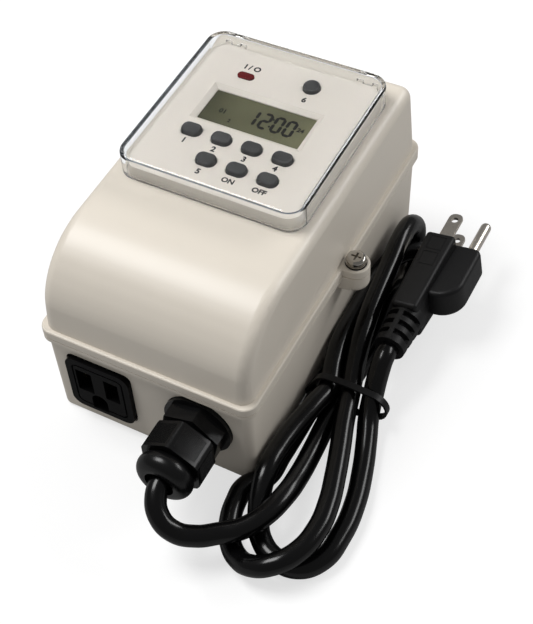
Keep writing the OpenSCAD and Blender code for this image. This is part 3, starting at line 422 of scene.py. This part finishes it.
def hood(inset):
    """The hood's outer form, or its inner form when inset by the wall: a skin over balls."""
    turns = [math.radians(step * 90 / nose_steps) for step in range(nose_steps + 1)]
    spots = [(nose_y - (nose_long - hood_edge) * math.cos(a),
              nose_z + (nose_tall - hood_edge) * math.sin(a)) for a in turns]
    spots.append((hood_back - hood_edge, lid_top - hood_edge))
    balls = []
    bpy.ops.object.select_all(action="DESELECT")
    for y, z in spots:
        for x in (hood_edge - hood_half_x, hood_half_x - hood_edge):
            bpy.ops.mesh.primitive_uv_sphere_add(segments=32, ring_count=16,
                                                 radius=hood_edge - inset, location=(x, y, z))
            balls.append(bpy.context.active_object)
    form = slab([size - inset for size in hood_foot_half], seam_z - (bite if inset else 0.0),
                flange_top + hood_foot_rise, corner=flange_corner - inset)
    pick(form, *balls)
    bpy.ops.object.join()
    bpy.ops.object.transform_apply(location=True, rotation=True, scale=True)
    bpy.ops.object.mode_set(mode="EDIT")
    bpy.ops.mesh.select_all(action="SELECT")
    bpy.ops.mesh.convex_hull(delete_unused=True, use_existing_faces=False)
    bpy.ops.mesh.select_all(action="SELECT")
    bpy.ops.mesh.dissolve_limited(angle_limit=math.radians(0.3))
    bpy.ops.object.mode_set(mode="OBJECT")
    return form


lug_x, lug_y, lug_root, lug_edge = 0.0535, (-0.001, 0.011), 0.047, 0.0007
lug_r, lug_corner, lug_hole_y, lug_hole_r = 0.006, 0.00598, 0.005, 0.00225
lid_shell = hood(0)
add_to(lid_shell, slab(flange_half, seam_z, flange_top, corner=flange_corner, edge=flange_edge,
                       edge_steps=3, foot=foot_cut))
for side in (-1, 1):
    lug = rounded_box((side * lug_x - lug_r, lug_y[0], seam_z),
                      (side * lug_x + lug_r, lug_y[1], flange_top), corner=lug_corner,
                      edge=lug_edge, corner_steps=16, edge_steps=3, foot=foot_cut)
    neck_x = sorted((side * lug_root, side * lug_x))
    add_to(lug, rounded_box((neck_x[0], lug_y[0], seam_z), (neck_x[1], lug_y[1], flange_top),
                            edge=lug_edge, edge_steps=3, foot=foot_cut))
    add_to(lid_shell, lug)

face_low, face_high = (Vector(c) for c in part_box("timer_face"))
plat_y, plat_half = (face_low.y + face_high.y) / 2, Vector((0.0394, 0.04105))
plat_corner, plat_edge, plat_rim = 0.006, 0.0003, 0.00095
bay_half, bay_corner, bay_deep, bay_past = (0.03595, 0.0376), 0.003, 0.006, 0.003
face_deep = 0.002
add_to(lid_shell, slab(plat_half, lid_top - bite, face_high.z, y=plat_y, corner=plat_corner,
                       edge=plat_edge, edge_steps=2))
take_away(lid_shell, hood(lid_wall))
take_away(lid_shell, slab(bay_half, lid_top - bay_deep, face_high.z + bay_past, y=plat_y,
                          corner=bay_corner))
take_away(lid_shell, slab([size - plat_rim for size in plat_half], face_high.z - face_deep,
                          face_high.z + bay_past, y=plat_y, corner=plat_corner - plat_rim))

pin_y, pin_z = (sum(c[axis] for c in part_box("cover_pins")) / 2 for axis in (1, 2))
knuckle_x, post_off, post_half, post_r, post_bore_r = 0.0315, 0.0036, 0.00115, 0.0019, 0.0008
room_half, room_r = 0.00245, 0.0022
for side in (-1, 1):
    take_away(lid_shell, upright_bar(side * lug_x, lug_hole_y, seam_z - past,
                                     flange_top + past, lug_hole_r))
    for off in (-post_off, post_off):
        x = side * knuckle_x + off
        post = rounded_box((x - post_half, pin_y - post_r, lid_top - bite),
                           (x + post_half, pin_y + post_r, pin_z))
        add_to(post, bar_along_x(x - post_half, x + post_half, pin_y, pin_z, post_r))
        take_away(post, bar_along_x(x - past, x + past, pin_y, pin_z, post_bore_r))
        add_to(lid_shell, post)
    x = side * knuckle_x
    take_away(lid_shell, bar_along_x(x - room_half, x + room_half, pin_y, pin_z, room_r))

shelf_half, shelf_corner = (0.0478, 0.0808), 0.0065
skirt_half, skirt_corner, skirt_deep = (0.0453, 0.0783), 0.004, 0.003
ring_inner_half, ring_inner_corner, ring_tall = (0.0437, 0.0767), 0.0025, 0.002
for half, low_z, corner in ((shelf_half, seam_z, shelf_corner),
                            (skirt_half, seam_z - skirt_deep, skirt_corner)):
    ring = slab(half, low_z, seam_z + ring_tall, corner=corner)
    take_away(ring, slab(ring_inner_half, low_z - past, seam_z + ring_tall + past,
                         corner=ring_inner_corner))
    add_to(lid_shell, ring)
dress(lid_shell, "lid_shell", cream)
crisp(lid_shell, degrees=25)
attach(lid_shell, "base")
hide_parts("lid")


# ---------------------------------------------------------------------------------------------
# Lid screws and their washers. Nickel-plated steel, turned and cross-recessed, driven down
# through rubber seals into brass inserts that are pressed into the base's lugs.
def plated_metal(name, colour, rough, grain=900, bump=0.03):
    """Plated or pressed metal: fine turning marks in the gloss and a faint tint to the plate."""
    made, tree, surface = new_material(name)
    marks = noise(tree, scale=grain, detail=5)
    shade(tree, surface, {"Base Color": two_tints(tree, marks, [c * 0.93 for c in colour], colour),
                          "Roughness": spread(tree, marks, low=rough * 0.75, high=rough * 1.25),
                          "Normal": raised(tree, marks, strength=bump, distance=0.0001),
                          "Metallic": 1.0})
    return made


nickel = plated_metal("nickel_plate", (0.56, 0.53, 0.48), 0.13)
brass = plated_metal("brass", (0.78, 0.6, 0.28), 0.3)
for name in ("lid_screws", "screw_washers", "timer_screws", "board_screws", "terminal_screws",
             "cover_pins"):
    finish_node(name, nickel)
for name in ("thread_inserts", "outlet_contacts", "outlet_earth_contact"):
    finish_node(name, brass)


# ---------------------------------------------------------------------------------------------
# Timer face. A cream ABS plate let into the lid's platform, with a bevelled display opening,
# and marks printed on it in black: plain numbers by the keys, ON and OFF. The marks' places
# and heights are given in millimetres.
face_abs = moulded_plastic("face_abs", (0.8, 0.735, 0.65), 0.45, bump=0.03, grain=2600,
                           mottle=0.02)
finish_node("timer_face", face_abs)
finish_node("timer_housing", face_abs)
print_ink = moulded_plastic("print_ink", (0.012, 0.012, 0.013), 0.55, bump=0.0, mottle=0.1,
                            specular=0.2)
face_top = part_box("timer_face")[1][2]
ink_thick, letter_size, letter_weight = 0.00002, 1.42, 0.055


def printed(name, text, x, y, z, height, ink):
    """Printed lettering: a thin skin of ink on the plate, centred on a place."""
    bpy.ops.object.select_all(action="DESELECT")
    bpy.ops.object.text_add(location=(x, y, z))
    word = bpy.context.active_object
    word.data.body = text
    word.data.size = height * letter_size
    word.data.align_x = "CENTER"
    word.data.align_y = "CENTER"
    word.data.extrude = ink_thick
    word.data.offset = height * letter_weight
    word.data.resolution_u = 4
    bpy.ops.object.convert(target="MESH")
    bpy.ops.object.transform_apply(location=True, rotation=True, scale=True)
    dress(word, name, ink)
    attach(word, "base")


for name, text, x, y, tall in (
        ("mark_1", "1", -22.3, 0.0, 2.8), ("mark_2", "2", -8.5, 0.1, 2.8),
        ("mark_3", "3", 5.6, 0.1, 2.8), ("mark_4", "4", 19.5, 0.5, 2.8),
        ("mark_5", "5", -8.1, -13.5, 2.8), ("mark_on", "ON", 5.5, -13.3, 2.5),
        ("mark_off", "OFF", 19.5, -13.3, 2.5), ("mark_6", "6", 12.1, 41.6, 2.8),
        ("mark_power", "I / O", -16.7, 50.6, 2.8)):
    printed(name, text, x / 1000, y / 1000, face_top + ink_thick, tall / 1000, print_ink)


# ---------------------------------------------------------------------------------------------
# Keys. Dark grey ABS caps with softly rounded tops, each on a stem that presses a dome switch
# on the board below; a flange under the plate keeps them in.
grey_key = moulded_plastic("grey_key", (0.052, 0.052, 0.052), 0.5, bump=0.04, grain=2600,
                           mottle=0.05, specular=0.4)
for name in cad_nodes:
    if name.startswith("button_"):
        finish_node(name, grey_key)
finish_node("key_switches", moulded_plastic("dome_grey", (0.03, 0.03, 0.035), 0.5))


# ---------------------------------------------------------------------------------------------
# Lamp and its window. A red polycarbonate light pipe, cast clear through, that is pressed into
# its hole from behind and lit by a red diode on the timer's board.
finish_node("led_lens", moulded_plastic("red_lens", (0.12, 0.001, 0.0015), 0.12, grain=900,
                                        mottle=0.25, specular=0.25))
finish_node("led_lamp", moulded_plastic("red_lamp", (0.7, 0.03, 0.03), 0.15, bump=0.0,
                                        mottle=0.1))


# ---------------------------------------------------------------------------------------------
# Display. A twisted-nematic glass in grey green behind a thin window; its segments are dark
# printed shapes, here a clock's plain digits and a few small numbers.
def display_glass(name, low, high):
    """Grey-green display glass: slow clouds of tint, faint electrode rows and a paler right."""
    made, tree, surface = new_material(name)
    rows = tree.nodes.new("ShaderNodeTexWave")
    rows.bands_direction = "Y"
    place = tree.nodes.new("ShaderNodeTexCoord").outputs["Object"]
    feed(tree, rows, {"Scale": 480, "Vector": place})
    across = feed(tree, tree.nodes.new("ShaderNodeSeparateXYZ"), {0: place}).outputs["X"]
    row_share, rise_per_metre = 0.12, 15
    mixed = math_node(tree, "MULTIPLY_ADD", rows.outputs["Fac"], row_share,
                      noise(tree, scale=35))
    fade = math_node(tree, "MULTIPLY_ADD", across, rise_per_metre, mixed)
    shade(tree, surface, {"Base Color": two_tints(tree, fade, low, high), "Roughness": 0.28,
                          "Specular IOR Level": 0.25})
    return made


lcd_green = display_glass("lcd_green", (0.045, 0.043, 0.02), (0.165, 0.16, 0.088))
for name in ("lcd_panel", "lcd_window"):
    finish_node(name, lcd_green)
finish_node("lcd_connectors", moulded_plastic("zebra_rubber", (0.5, 0.3, 0.32), 0.6))
lcd_ink = moulded_plastic("lcd_ink", (0.006, 0.006, 0.006), 0.4, bump=0.0, mottle=0.1,
                          specular=0.2)

segment_z, segment_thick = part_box("lcd_window")[1][2] + 0.00003, 0.00004
digit_h, digit_w, stroke, digit_gap, point_share = 0.0086, 0.0034, 0.0014, 0.00008, 0.46
clock_y, colon_x, colon_y = 0.0211, (0.0045, 0.0057), (0.0232, 0.0276)


def segment(x0, y0, x1, y1):
    """One display segment: a flat bar whose ends are drawn to a point, from end to end."""
    bpy.ops.object.select_all(action="DESELECT")
    bpy.ops.mesh.primitive_cube_add(size=1, location=((x0 + x1) / 2, (y0 + y1) / 2, segment_z),
                                    rotation=(0, 0, math.atan2(y1 - y0, x1 - x0)))
    bar = bpy.context.active_object
    bar.scale = (math.hypot(x1 - x0, y1 - y0), stroke, segment_thick)
    bpy.ops.object.transform_apply(location=False, rotation=False, scale=True)
    round_edges(bar, is_upright, stroke * point_share, 1)
    bpy.ops.object.transform_apply(location=True, rotation=True, scale=True)
    return bar


segment_ends = {"a": ((0, 1), (1, 1)), "b": ((1, 0.5), (1, 1)), "c": ((1, 0), (1, 0.5)),
                "d": ((0, 0), (1, 0)), "e": ((0, 0), (0, 0.5)), "f": ((0, 0.5), (0, 1)),
                "g": ((0, 0.5), (1, 0.5))}


def digit(lit, x, y):
    """One seven-segment digit, with its lower left corner at a place."""
    bars = []
    for key in lit:
        ends = [Vector((x + u * digit_w, y + v * digit_h)) for u, v in segment_ends[key]]
        along = (ends[1] - ends[0]).normalized() * digit_gap
        bars.append(segment(*(ends[0] + along), *(ends[1] - along)))
    return bars


clock_bars = []
for lit, x in (("bc", -0.0054), ("abged", 0.0006), ("abcdef", 0.0064), ("abcdef", 0.0119)):
    clock_bars += digit(lit, x, clock_y)
for y in colon_y:
    clock_bars.append(segment(colon_x[0], y, colon_x[1], y))
pick(*clock_bars)
bpy.ops.object.join()
clock_digits = bpy.context.active_object
dress(clock_digits, "clock_digits", lcd_ink)
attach(clock_digits, "base")
for name, text, x, y, tall in (("flag_01", "01", -0.0169, 0.0237, 0.0024),
                               ("flag_2", "2", -0.0118, 0.0195, 0.0018),
                               ("flag_24", "24", 0.0181, 0.0262, 0.0022)):
    printed(name, text, x, y, segment_z, tall, lcd_ink)


# ---------------------------------------------------------------------------------------------
# Clear flip cover. One piece of water-clear styrene, drawn down as a shallow lid with a skirt
# on all sides; two knuckles inside its back wall turn on steel pins between posts of the lid.
def clear_plastic(name, tint):
    """Clear styrene: faint flow lines in the gloss, and a tint: very slight and cool for the clear
    body, dark blue-grey for painted shade along its edges.
    """
    made, tree, surface = new_material(name)
    shade(tree, surface, {"Base Color": (*tint, 1), "Transmission Weight": 1.0, "IOR": 1.45,
                          "Roughness": spread(tree, noise(tree, scale=25), low=0.0, high=0.03),
                          "Specular IOR Level": 0.22})
    return made


cover_low, cover_high = (Vector(c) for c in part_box("clear_cover"))
cover_t, cover_corner, cover_edge, cover_inner_edge = 0.0016, 0.008, 0.0014, 0.0006
gap_y, gap_z, gap_past = pin_y - 0.0014, pin_z - 0.0006, 0.005
slot_half, slot_r = 0.005, 0.003
knuckle_half, knuckle_r, bore_half, bore_r = 0.0022, 0.0019, 0.004, 0.00085
web_tall, web_inset = 0.0034, 0.00002
flip_cover = rounded_box(cover_low, cover_high, corner=cover_corner, edge=cover_edge,
                         corner_steps=16, edge_steps=7)
take_away(flip_cover, rounded_box(cover_low + Vector((cover_t, cover_t, -past)),
                                  cover_high - Vector((cover_t, cover_t, cover_t)),
                                  corner=cover_corner - cover_t, edge=cover_inner_edge,
                                  corner_steps=16, edge_steps=4))
take_away(flip_cover, rounded_box((cover_low.x - gap_past, gap_y, cover_low.z - gap_past),
                                  (cover_high.x + gap_past, cover_high.y + gap_past, gap_z)))
for side in (-1, 1):
    x = side * knuckle_x
    take_away(flip_cover, bar_along_x(x - slot_half, x + slot_half, pin_y, pin_z, slot_r))
    knuckle = bar_along_x(x - knuckle_half, x + knuckle_half, pin_y, pin_z, knuckle_r)
    add_to(knuckle, rounded_box((x - knuckle_half, cover_high.y - cover_t, pin_z),
                                (x + knuckle_half, cover_high.y - web_inset,
                                 pin_z + web_tall)))
    take_away(knuckle, bar_along_x(x - bore_half, x + bore_half, pin_y, pin_z, bore_r))
    add_to(flip_cover, knuckle)
# The second material, a dark blue-grey tint, is painted shade: it stands in for the dark lines
# that the cover's edges show by refraction.
dress(flip_cover, "flip_cover", clear_plastic("clear_styrene", (0.97, 0.98, 0.99)),
      clear_plastic("styrene_painted_edge_shade", (0.22, 0.26, 0.33)))
crisp(flip_cover, degrees=25)
# Faces at the skirt's foot and on the top edge's bevel take the painted shade.
painted_shade_foot_band, painted_shade_top_band = 0.0002, 0.0035
for face in flip_cover.data.polygons:
    at_skirt_foot = face.normal.z < -0.9 and face.center.z < cover_low.z + painted_shade_foot_band
    on_top_edge = 0.45 < abs(face.normal.z) < 0.8 and face.center.z > cover_high.z - painted_shade_top_band
    face.material_index = 1 if at_skirt_foot or on_top_edge else 0
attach(flip_cover, "cover")
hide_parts("clear_cover")


# ---------------------------------------------------------------------------------------------
# Outlet. A black nylon block snapped into the front wall, with windows for two blades and an
# earth pin, and brass leaf contacts behind them.
finish_node("outlet_housing", moulded_plastic("outlet_nylon", (0.0025, 0.0025, 0.0028), 0.42,
                                              bump=0.05, grain=1600, specular=0.06))


# ---------------------------------------------------------------------------------------------
# Cable gland. Black nylon, with fine grip ribs on the flats of its nut; it screws through the
# wall into a locknut over a flat rubber washer, and its dome squeezes a rubber seal on the cord.
gland_nylon = moulded_plastic("gland_nylon", (0.004, 0.004, 0.0043), 0.26, bump=0.03, grain=1600,
                              specular=0.35)
for name in ("gland_body", "gland_locknut", "gland_nut"):
    finish_node(name, gland_nylon)
for name in ("gland_washer", "gland_seal"):
    finish_node(name, black_rubber)
nut_low, nut_high = (Vector(c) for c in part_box("gland_nut"))
nut_x, nut_z = (nut_low.x + nut_high.x) / 2, (nut_low.z + nut_high.z) / 2
nut_flat, rib_y0, rib_y1 = 0.0128, nut_high.y - 0.0115, nut_high.y - 0.0014
rib_count, rib_pitch, rib_wide, rib_high, rib_edge = 15, 0.0007, 0.00036, 0.00022, 0.0001


def set_in_place(piece, place):
    """Moves a piece by a matrix and takes the move into its mesh."""
    piece.matrix_world = place
    pick(piece)
    bpy.ops.object.transform_apply(location=True, rotation=True, scale=True)


bpy.ops.object.select_all(action="DESELECT")
bpy.ops.mesh.primitive_cube_add(size=1, location=(-(rib_count - 1) * rib_pitch / 2,
                                                  (rib_y0 + rib_y1) / 2, nut_flat))
nut_ribs = bpy.context.active_object
nut_ribs.scale = (rib_wide, rib_y1 - rib_y0, rib_high * 2)
bpy.ops.object.transform_apply(location=True, rotation=True, scale=True)
round_edges(nut_ribs, lambda a, b: True, rib_edge, 1)
ribs_of_a_flat = [Matrix.Translation((k * rib_pitch, 0, 0)) for k in range(1, rib_count)]
flats_of_the_nut = [Matrix.Rotation(math.radians(k * 60), 4, "Y") for k in range(1, 6)]
for places, after in ((ribs_of_a_flat, Matrix.Rotation(math.pi / 2, 4, "Y")),
                      (flats_of_the_nut, Matrix.Translation((nut_x, 0, nut_z)))):
    copies = []
    for place in places:
        copy = nut_ribs.copy()
        copy.data = nut_ribs.data.copy()
        bpy.context.scene.collection.objects.link(copy)
        copy.matrix_world = place
        copies.append(copy)
    pick(nut_ribs, *copies)
    bpy.ops.object.join()
    set_in_place(nut_ribs, after)
dress(nut_ribs, "nut_ribs", gland_nylon)
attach(nut_ribs, "base")


# ---------------------------------------------------------------------------------------------
# Plug and tie. Matt black vinyl moulded over the cord's end and its two nickel blades and
# round earth pin; a flat releasable tie holds the hank. The plug is shaped about the middle of
# its face, with its blades along y, and then laid on the hank.
plug_face = Matrix.Translation((0.0761, 0.0495, 0.025)) @ Matrix.Rotation(math.radians(-9), 4, "Y")
plug_low, plug_high = (-0.0068, -0.043, -0.012), (0.0068, 0, 0.012)
plug_back, plug_edge = (0.86, 0.8), 0.0018
wing_low, wing_high = (-0.004, -0.0315, -0.0072), (0.0186, 0, 0.0072)
wing_tip_x, wing_back_y, wing_root_x = 0.018, -0.03, -0.0035
wing_back_round, wing_front_round, wing_edge = 0.0105, 0.0035, 0.0021
relief_y, relief_r, seat_y, seat_r = (-0.06, -0.04), (0.0068, 0.0081), (-0.0605, -0.0595), 0.004
slit_y, slit_pitch, slit_wide, slit_past = -0.0568, 0.005, 0.0026, 0.001
slit_outer_r, slit_core_r, slit_rib, slit_rib_long = 0.0095, 0.0053, 0.0022, 0.02
panel_y, panel_half, panel_line = (-0.0065, -0.0155), (0.0036, 0.0038), 0.0004
panel_seat = Matrix.Translation((0, 0, 0.01183)) @ Matrix.Rotation(math.radians(3.2), 4, "X")
blade_z, slot_half, socket_deep = (-0.00635, 0.00635), (0.0032, 0.00077), 0.0101
earth_x, earth_hole_r = 0.0119, 0.00242


def tapered_block(low, high, back_scale, edge):
    """A block that narrows towards its lower y end, rounded on every edge."""
    block = rounded_box(low, high)
    bpy.ops.object.mode_set(mode="EDIT")
    bpy.ops.mesh.select_mode(type="VERT")
    bpy.ops.mesh.select_all(action="DESELECT")
    bpy.ops.object.mode_set(mode="OBJECT")
    for v in block.data.vertices:
        v.select = v.co.y < low[1] + 1e-5
    bpy.ops.object.mode_set(mode="EDIT")
    bpy.ops.transform.resize(value=(back_scale[0], 1, back_scale[1]), center_override=(0, 0, 0))
    bpy.ops.object.mode_set(mode="OBJECT")
    round_edges(block, lambda a, b: True, edge, 5)
    return block


def lying_bar(x, z, y0, y1, r0, r1):
    """A round bar along y that may taper, from one radius to another."""
    bpy.ops.object.select_all(action="DESELECT")
    bpy.ops.mesh.primitive_cone_add(vertices=40, radius1=r0, radius2=r1, depth=y1 - y0,
                                    location=(x, (y0 + y1) / 2, z),
                                    rotation=(-math.pi / 2, 0, 0))
    bpy.ops.object.transform_apply(location=True, rotation=True, scale=True)
    return bpy.context.active_object


plug_shell = tapered_block(plug_low, plug_high, plug_back, plug_edge)
wing = rounded_box(wing_low, wing_high)
round_edges(wing, lambda a, b: min(a.x, b.x) > wing_tip_x and max(a.y, b.y) < wing_back_y,
            wing_back_round, 10)
round_edges(wing, lambda a, b: min(a.x, b.x) > wing_tip_x and min(a.y, b.y) > -bite,
            wing_front_round, 6)
round_edges(wing, lambda a, b: is_level(a, b) and max(a.x, b.x) > wing_root_x, wing_edge, 4)
add_to(plug_shell, wing)

relief = lying_bar(0, 0, *relief_y, *relief_r)
for row in range(3):
    y = slit_y + row * slit_pitch
    y0, y1 = y - slit_past, y + slit_wide + slit_past
    ring = lying_bar(0, 0, y, y + slit_wide, slit_outer_r, slit_outer_r)
    take_away(ring, lying_bar(0, 0, y0, y1, slit_core_r, slit_core_r))
    for wide, tall in ((slit_rib_long, slit_rib), (slit_rib, slit_rib_long)):
        take_away(ring, rounded_box((-wide / 2, y0, -tall / 2), (wide / 2, y1, tall / 2)))
    take_away(relief, ring)
take_away(relief, lying_bar(0, 0, *seat_y, seat_r, seat_r))
add_to(plug_shell, relief)

for y in panel_y:
    outline, inner = (rounded_box((-panel_half[0] + line, y - panel_half[1] + line, low_z),
                                  (panel_half[0] - line, y + panel_half[1] - line, high_z))
                      for line, low_z, high_z in ((0, 0.0, 0.003), (panel_line, -0.001, 0.004)))
    take_away(outline, inner)
    set_in_place(outline, panel_seat)
    take_away(plug_shell, outline)
for z in blade_z:
    take_away(plug_shell, rounded_box((-slot_half[0], -socket_deep, z - slot_half[1]),
                                      (slot_half[0], bite, z + slot_half[1])))
take_away(plug_shell, lying_bar(earth_x, 0, -socket_deep, bite, earth_hole_r, earth_hole_r))
set_in_place(plug_shell, plug_face)
dress(plug_shell, "plug_shell", moulded_plastic("plug_vinyl", (0.005, 0.005, 0.0055), 0.46,
                                                bump=0.12, grain=1200, specular=0.3))
crisp(plug_shell, degrees=30)
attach(plug_shell, "base")
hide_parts("plug_body")
finish_node("cord_tie", moulded_plastic("tie_vinyl", (0.006, 0.006, 0.0065), 0.4, bump=0.08,
                                        grain=1400, specular=0.25))

blade_nickel = plated_metal("blade_nickel", (0.82, 0.76, 0.68), 0.3, grain=2500, bump=0.008)
finish_node("plug_ground_pin", blade_nickel)
blade_half, blade_y = (0.003175, 0.00075), (-0.01, 0.0175)
blade_tip_round, blade_edge = 0.0028, 0.0002
blade_hole_y, blade_hole_r = 0.0135, 0.0016
blades = []
for z in blade_z:
    blade = rounded_box((-blade_half[0], blade_y[0], z - blade_half[1]),
                        (blade_half[0], blade_y[1], z + blade_half[1]))
    round_edges(blade, lambda a, b: min(a.y, b.y) > blade_y[1] - bite and is_upright(a, b),
                blade_tip_round, 8)
    round_edges(blade, lambda a, b: is_level(a, b) and max(a.y, b.y) > blade_y[0] + bite,
                blade_edge, 2)
    take_away(blade, upright_bar(0, blade_hole_y, z - past, z + past, blade_hole_r))
    blades.append(blade)
pick(*blades)
bpy.ops.object.join()
blade_pair = bpy.context.active_object
set_in_place(blade_pair, plug_face)
dress(blade_pair, "blade_pair", blade_nickel)
crisp(blade_pair, degrees=30)
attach(blade_pair, "base")
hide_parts("plug_blades")


# ---------------------------------------------------------------------------------------------
# What the box holds. Two glass-fibre boards with their parts soldered on, a ribbon cable
# between them, a transformer wound with enamelled copper, and leads in coloured vinyl.
def circuit_board(name, mask, track):
    """Circuit board: solder mask over square-cornered copper tracks that show as a paler net."""
    made, tree, surface = new_material(name)
    net = pattern(tree, "ShaderNodeTexBrick",
                  {"Scale": 120, "Mortar Size": 0.06, "Color1": (*mask, 1),
                   "Color2": (*[c * 0.85 for c in mask], 1), "Mortar": (*track, 1)})
    tracks = raised(tree, net.outputs["Fac"], strength=0.2, distance=0.0001)
    shade(tree, surface, {"Base Color": net.outputs["Color"], "Roughness": 0.3,
                          "Normal": tracks})
    return made


def wound_wire(name, colour, pitch, direction):
    """Enamelled wire or stacked sheet: close parallel lines with a groove between them, the groove
    painted darker as shade.
    """
    made, tree, surface = new_material(name)
    turns = pattern(tree, "ShaderNodeTexWave", {"Scale": 0.31 / pitch})
    turns.bands_direction = direction
    lines = turns.outputs["Fac"]
    # The grooves between the lines are painted darker: painted shade in the creases.
    shade(tree, surface, {"Base Color": two_tints(tree, lines, [c * 0.4 for c in colour], colour),
                          "Normal": raised(tree, lines, strength=0.5, distance=0.0002),
                          "Roughness": 0.35, "Metallic": 0.7})
    return made


finish_node("timer_board", circuit_board("timer_laminate", (0.02, 0.14, 0.05), (0.08, 0.3, 0.12)))
finish_node("power_board", circuit_board("power_laminate", (0.3, 0.22, 0.08), (0.45, 0.33, 0.15)))
for name, made_of, colour, pitch, direction in (
        ("transformer_core", "stacked_steel", (0.25, 0.25, 0.27), 0.0005, "Y"),
        ("transformer_winding", "copper_winding", (0.7, 0.33, 0.12), 0.0004, "Z"),
        ("ribbon_cable", "ribbon_vinyl", (0.6, 0.6, 0.58), 0.00127, "X")):
    finish_node(name, wound_wire(made_of, colour, pitch, direction))
for name, made_of, colour, rough in (
        ("relay", "relay_blue", (0.03, 0.09, 0.35), 0.35),
        ("board_header", "header_nylon", (0.78, 0.77, 0.7), 0.5),
        ("terminal_block", "terminal_green", (0.02, 0.22, 0.07), 0.4),
        ("lead_live", "live_vinyl", (0.008, 0.008, 0.008), 0.35),
        ("lead_neutral", "neutral_vinyl", (0.75, 0.75, 0.72), 0.35),
        ("lead_earth", "earth_vinyl", (0.02, 0.25, 0.05), 0.35),
        ("lead_load_live", "load_live_vinyl", (0.008, 0.008, 0.008), 0.35),
        ("lead_load_neutral", "load_neutral_vinyl", (0.75, 0.75, 0.72), 0.35)):
    finish_node(name, moulded_plastic(made_of, colour, rough))
finish_node("capacitor", moulded_plastic("capacitor_sleeve", (0.01, 0.02, 0.05), 0.25, coat=0.3))
finish_node("fuse", moulded_plastic("fuse_glass", (0.6, 0.62, 0.62), 0.08, coat=0.6))
finish_node("timer_chip", moulded_plastic("chip_epoxy", (0.012, 0.012, 0.013), 0.55, bump=0.1))
finish_node("backup_cell", plated_metal("cell_steel", (0.62, 0.62, 0.62), 0.25))


# ---------------------------------------------------------------------------------------------
# Last, the scene's placements are brought up to date.
bpy.context.view_layer.update()
